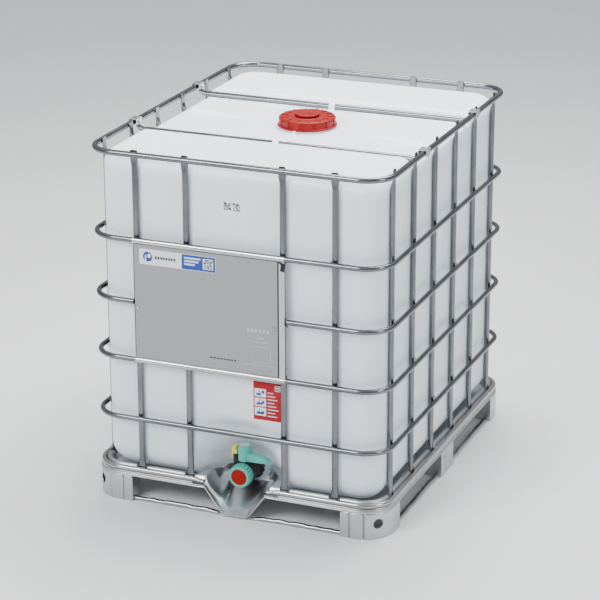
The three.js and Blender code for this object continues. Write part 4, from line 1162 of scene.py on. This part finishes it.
def vent_plug():
    grip = ribbed(1.4, 30, 0.5, 0.12)
    profile = rounded_profile([
        (0.001, 1142.6), (26, 1142.6), (29.2, 1144.4), (29.2, 1153.6), (40, 1153.6), (40, 1157.0), (38, 1159.2),
        (33, 1160), (27, 1159.4), (0.001, 1159.0),
    ], 1.0, 3)
    body = lathe(profile, 240, lambda a, r, z: grip(a) if r > 38.5 and z < 1158 else 0.0)
    bar = box(-23, 23, -3.2, 3.2, 1158.4, 1160)
    return about_lid(merge(body, bar))


solid_of("plug", vent_plug(), RED, "vent_plug", "lid_plastic", ["vent_plug"], sharp=40)


def torus_band(r0, r1, z0, z1, segments=96):
    outline = closed_rounded([(r0, z0), (r1, z0), (r1, z1), (r0, z1)], 0.6, 2)
    return lathe(outline + [outline[0]], segments)


solid_of("lid_seal_ring", about_lid(torus_band(72.5, 79, 1138.3, 1141.3)), RUBBER, "lid_seal", "seal_rubber",
         ["lid_gasket"], sharp=60)
solid_of("vent_seal_ring", about_lid(torus_band(30, 37, 1151.3, 1153.3)), RUBBER, "vent_seal", "seal_rubber",
         ["vent_plug_seal"], sharp=60)


# ------------------------------------------------------------------------------
# outlet valve: profiles are (radius, distance in front of the plane y = 0)
# ------------------------------------------------------------------------------
FRONTWARD = Matrix.Rotation(math.pi / 2, 3, "X")


def about_outlet(part):
    return moved(turned_by(part, FRONTWARD), dz=VALVE_Z)


def union_nut():
    ribs = ribbed(2.4, 16, 0.5, 0.1)
    profile = rounded_profile([
        (31.6, 477), (31.6, 450), (40, 450), (44, 453), (44, 472), (41, 476.6), (31.6, 477),
    ], 1.0, 3)
    return about_outlet(lathe(profile, 256, lambda a, r, z: ribs(a) if r > 42.5 else 0.0))


def up(part):
    return moved(part, dy=STEM_Y)


def valve_barrel():
    return about_outlet(lathe(rounded_profile([
        (25, 554), (25, 458.3), (31, 458.3), (31, 478), (38, 478), (38, 483), (35, 485), (33, 486), (33, 532),
        (32, 533), (32, 552.6), (30.6, 554), (25, 554),
    ], 0.8, 3), 96))


def valve_tower():
    """the stem's collar, the latch's lug and two fins, with their feet buried in the barrel's wall"""
    tower = up(lathe(rounded_profile([
        (6.4, 150.6), (6.4, 164.7), (15.5, 164.7), (17, 163.4), (17, 150.6), (6.4, 150.6),
    ], 0.6, 2), 48))
    lug = prism_y(closed_rounded([(-35, 184), (-35, 150), (-30, 136), (-14, 150), (-14, 163), (-23.2, 165),
                                  (-23.2, 184)], 1.5, 3), STEM_Y - 9, STEM_Y + 9)
    fins = [prism_y(closed_rounded([(x * 14, 160), (x * 30, 134), (x * 14, 150)], 1.0, 2),
                    STEM_Y - 2, STEM_Y + 2) for x in (-1, 1)]
    return merge(tower, lug, *fins)


solid_of("nut", union_nut(), BLACK, BASE, "valve_plastic", ["union_nut"], sharp=40)
body = solid_of("body", valve_barrel(), BLACK, BASE, "valve_plastic", ["valve_body"], sharp=40)
drill(body, (0, STEM_Y, 158), (0, 0, 1), 6.4, 30.0)
solid_of("body_tower", valve_tower(), BLACK, BASE, "valve_plastic", [], sharp=40)


def butterfly():
    plate_disc = about_outlet(lathe(rounded_profile([
        (0.001, 515.4), (10, 515.4), (22, 514.4), (24.4, 513.6), (24.4, 512.4), (22, 511.6), (10, 510.6),
        (0.001, 510.6),
    ], 1.0, 2), 64))
    stem = up(lathe(rounded_profile([(0.001, 104), (6, 104), (6, 206), (0.001, 206)], 0.8, 2), 32))
    return merge(plate_disc, stem)


solid_of("disc_and_stem", butterfly(), BLACK, "lever", "valve_plastic", ["butterfly"], sharp=40)


def lever():
    hub = up(lathe(rounded_profile([
        (6.4, 165), (20, 165), (21, 166.4), (21, 214), (18.5, 217.2), (17.4, 217.4), (17.2, 216.2),
        (0.001, 216.2),
    ], 0.8, 3), 72))
    tops = ((8, 194), (26, 191), (45, 188), (60, 184.5), (76, 179.0), (84, 174), (88, 170.3))
    loops = []
    for i in range(33):
        x = lerp(8, 88, i / 32)
        high = table(x, tops)
        low = table(x, ((8, 167), (83, 167), (88, 169.8)))
        half = table(x, ((8, 15), (40, 15), (70, 14), (82, 11), (88, 6)))
        wall = 2.6
        top = min(3.0, (high - low) * 0.4)
        outline = [(-half, low), (-half, high - 4 * top / 3), (-half + 1.6, high - top * 0.4), (-half + 5, high),
                   (half - 5, high), (half - 1.6, high - top * 0.4), (half, high - 4 * top / 3), (half, low)]
        roof = low + 0.4 if x > 84 else high - wall - 1.0
        roof = max(roof, low + 0.4)
        inside = [(half - wall, low), (half - wall, roof - 0.3), (half - 5, roof), (-half + 5, roof),
                  (-half + wall, roof - 0.3), (-half + wall, low)]
        if x > 84:
            inside = [(half * 0.6, low), (half * 0.6, low + 0.1), (half * 0.3, low + 0.2), (-half * 0.3, low + 0.2),
                      (-half * 0.6, low + 0.1), (-half * 0.6, low)]
        loops.append([(x, STEM_Y + y, z) for y, z in outline + inside])
    arm = skin(loops)
    collar = up(lathe(rounded_profile([(21, 200), (22, 201), (22, 204), (21, 205)], 0.4, 2), 72))
    return merge(hub, arm, collar)


solid_of("handle", lever(), TURQUOISE, "lever", "turquoise_plastic", ["lever"], sharp=40, bevel=0.5)
hub_cap = up(lathe(rounded_profile([(0.001, 214), (16.6, 214), (16.6, 216.8), (15.6, 217.8), (9, 217.2),
                                    (0.001, 217.0)], 0.6, 3), 64))
solid_of("hub_cap", hub_cap, HUB_GREY, "lever", "turquoise_plastic", [], sharp=40)

latch_outline = [(-41, 170), (-36.6, 170), (-36.6, 184.4), (-23.4, 184.4), (-23.4, 198), (-27, 198), (-27, 203),
                 (-24.4, 206), (-27, 210), (-38, 210), (-41, 204), (-41, 198), (-39.4, 196), (-41, 194)]
latch = prism_y(closed_rounded(latch_outline, 0.9, 2), STEM_Y - 8, STEM_Y + 8)
solid_of("latch_clip", latch, YELLOW, "latch", "yellow_plastic", ["safety_latch"], bevel=0.8)


CAP_CORE = 33.8


def cap_ring():
    ribs = ribbed(3.2, 20, 0.56, 0.06)
    profile = rounded_profile([
        (33.4, 559.6), (33.4, 530.4), (36, 530.4), (37.6, 532.4), (37.6, 549), (36.2, 556.5), (35.2, 560.2),
        (32.4, 562.8),
        (30.5, 563.3), (27.8, 563), (26.3, 561.8), (26.3, 559.6), (33.4, 559.6),
    ], 0.6, 3)

    def grooves(a, r, z):
        return max(ribs(a), CAP_CORE - r) if r > CAP_CORE and z > 531.8 else 0.0

    return about_outlet(lathe(profile, 352, grooves))


def cap_disc():
    return about_outlet(lathe(rounded_profile([
        (0.001, 562.0), (12, 562.1), (23.5, 562.5), (26.0, 561.4), (26.0, 559.3), (32, 559.3), (32, 557.1),
        (0.001, 557.1),
    ], 0.8, 3), 96))


solid_of("cap_grip", cap_ring(), TURQUOISE, "cap_ring", "turquoise_plastic", ["outlet_cap_ring"], sharp=40)
solid_of("cap_face", cap_disc(), SIGNAL, "cap_disc", "signal_red_plastic", ["outlet_cap_disc"], sharp=40)
solid_of("cap_seal_ring", about_outlet(torus_band(26, 32, 554.3, 556.5)), RUBBER, "cap_seal", "seal_rubber",
         ["outlet_cap_gasket"], sharp=60)


# ------------------------------------------------------------------------------
# labels: generic panels and marks, with no lettering
# ------------------------------------------------------------------------------
on_plate("sticker_base", [rect(-311, -55, 803, 853)], PAPER, 0.35)
on_plate("sticker_panel", [rect(-168, -56.5, 804.5, 851.5)], LABEL_BLUE, 0.6)
on_plate("sticker_mark", [disc(-283, 829, 16)], LABEL_BLUE, 0.6)
on_plate("sticker_mark_hole", [disc(-278, 832, 6.5), rect(-292, -288, 815, 834)], PAPER, 0.85)
on_plate("sticker_bars", [rect(-160, -105, 838, 844), rect(-160, -112, 828, 834), rect(-160, -124, 818, 824)],
         LABEL_LIGHT, 0.85)
on_plate("sticker_rule", [rect(-258 + 9 * i, -252 + 9 * i, 824, 833) for i in range(8)], INK, 0.6)
on_plate("sticker_patch", [rect(-97, -63, 811, 845)], PAPER, 0.85)
on_plate("sticker_speckle", speckle(-94.5, 813.5, 29, 11, 5), INK, 1.1)
EMBOSS = frame_shapes(66, 126, 530, 584, 1.6) + [rect(70, 122, 596, 599), rect(36, 140, 522, 524)]
EMBOSS += [rect(48 + 13 * i, 56 + 13 * i, 628, 640) for i in range(6)] + [rect(84, 104, 610, 614)]
# painted shadow: a dark copy of the embossed marks under the sheet-coloured raised copy, which is shifted up and
# left, so dark shows along their lower right edges
on_plate("plate_emboss_shade", EMBOSS, EMBOSS_SHADE_GREY, 0.4)
on_plate("plate_emboss", [[(x - 1.0, z + 1.2) for x, z in shape] for shape in EMBOSS], SHEET, 0.6)
on_plate("plate_rule", [rect(-78 + 11.5 * i, -70 + 11.5 * i, 526, 530) for i in range(8)], INK, 0.4)
on_plate("plate_marks", frame_shapes(131, 145, 642, 656, 2.0), PRINT, 0.5)

on_bottle("red_label", [rect(54, 148, 333, 460)], LABEL_RED, 0.5)
panels = [rect(58, 96, z, z + 27) for z in (409, 378, 347)]
on_bottle("red_label_panels", panels, PAPER, 0.8)
marks = []
for k, z in enumerate((409, 378, 347)):
    marks += [rect(64, 80 + 3 * k, z + 5, z + 12), disc(86, z + 17 - 3 * k, 5), rect(72, 75, z + 10, z + 23)]
on_bottle("red_label_marks", marks, LABEL_BLUE, 1.05)
on_bottle("red_label_patch", [rect(126, 144, 434, 452)], PAPER, 0.8)
on_bottle("red_label_speckle", speckle(127.5, 435.5, 15, 9, 8), INK, 1.05)
bars = [rect(101, 120 + (i * 7) % 18, 424 - 11 * i, 427 - 11 * i) for i in range(8)]
on_bottle("red_label_bars", bars, LABEL_LIGHT, 0.8)
on_bottle("print_left", speckle(-38, 1000, 24, 9, 21), INK, 0.4)
on_bottle("print_right", speckle(-8, 1000, 24, 9, 34), INK, 0.4)


# ------------------------------------------------------------------------------
# floor, light and camera
# ------------------------------------------------------------------------------
def floor():
    s = Shader("studio_floor")
    soft = s.noise(0.8, 3.0, 0.5)
    s.set(Base_Color=s.mix(soft, rgb(0.74, 0.745, 0.75), rgb(0.80, 0.805, 0.81)), Roughness=0.75)
    mesh = bpy.data.meshes.new("floor")
    size = 40.0
    corners = ((-size, -size), (size, -size), (size, size), (-size, size))
    mesh.from_pydata([(x, y, -0.0005) for x, y in corners],
                     [], [(0, 1, 2, 3)])
    mesh.materials.append(s.mat)
    obj = bpy.data.objects.new("floor", mesh)
    bpy.context.scene.collection.objects.link(obj)


def area(name, place, target, size, power, colour=(1, 1, 1)):
    data = bpy.data.lights.new(name, "AREA")
    data.shape = "RECTANGLE"
    data.size, data.size_y = size
    data.energy = power
    data.color = colour
    obj = bpy.data.objects.new(name, data)
    obj.location = place
    obj.rotation_euler = (Vector(target) - Vector(place)).to_track_quat("-Z", "Y").to_euler()
    bpy.context.scene.collection.objects.link(obj)


floor()
area("key", (-1.8, -4.6, 3.8), (0, 0, 0.5), (2.6, 2.0), 250)
area("top", (0.2, 1.2, 4.4), (0, 0, 1.0), (3.0, 2.4), 330)
area("side", (4.6, -1.6, 2.6), (0, 0, 0.5), (1.2, 2.6), 60)


def sky():
    """a soft studio dome: bright overhead, dim towards the horizon"""
    world = bpy.data.worlds.new("studio")
    world.use_nodes = True
    nodes, links = world.node_tree.nodes, world.node_tree.links
    coords = nodes.new("ShaderNodeTexCoord")
    split = nodes.new("ShaderNodeSeparateXYZ")
    links.new(coords.outputs["Generated"], split.inputs[0])
    dome = nodes.new("ShaderNodeMapRange")
    dome.inputs["From Min"].default_value = -0.1
    dome.inputs["From Max"].default_value = 0.9
    dome.inputs["To Min"].default_value = 0.22
    dome.inputs["To Max"].default_value = 1.0
    links.new(split.outputs[2], dome.inputs["Value"])
    background = nodes["Background"]
    background.inputs["Color"].default_value = (0.92, 0.94, 0.97, 1)
    links.new(dome.outputs["Result"], background.inputs["Strength"])
    bpy.context.scene.world = world


sky()

AZIMUTH, ELEVATION, ROLL = (math.radians(v) for v in (22.257, 19.635, -0.174))
AIM, DISTANCE, FOCAL_LENGTH = (-0.0209, 0.0, 0.5259), 7.828, 142.9
camera_data = bpy.data.cameras.new("camera")
camera_data.lens = FOCAL_LENGTH
camera_data.sensor_width = 36.0
camera = bpy.data.objects.new("camera", camera_data)
bpy.context.scene.collection.objects.link(camera)
reach = math.cos(ELEVATION)
back = Vector((math.sin(AZIMUTH) * reach, -math.cos(AZIMUTH) * reach, math.sin(ELEVATION)))
camera.location = Vector(AIM) + back * DISTANCE
look = (-back).to_track_quat("-Z", "Y").to_matrix() @ Matrix.Rotation(ROLL, 3, "Z")
camera.rotation_euler = look.to_euler()
bpy.context.scene.camera = camera
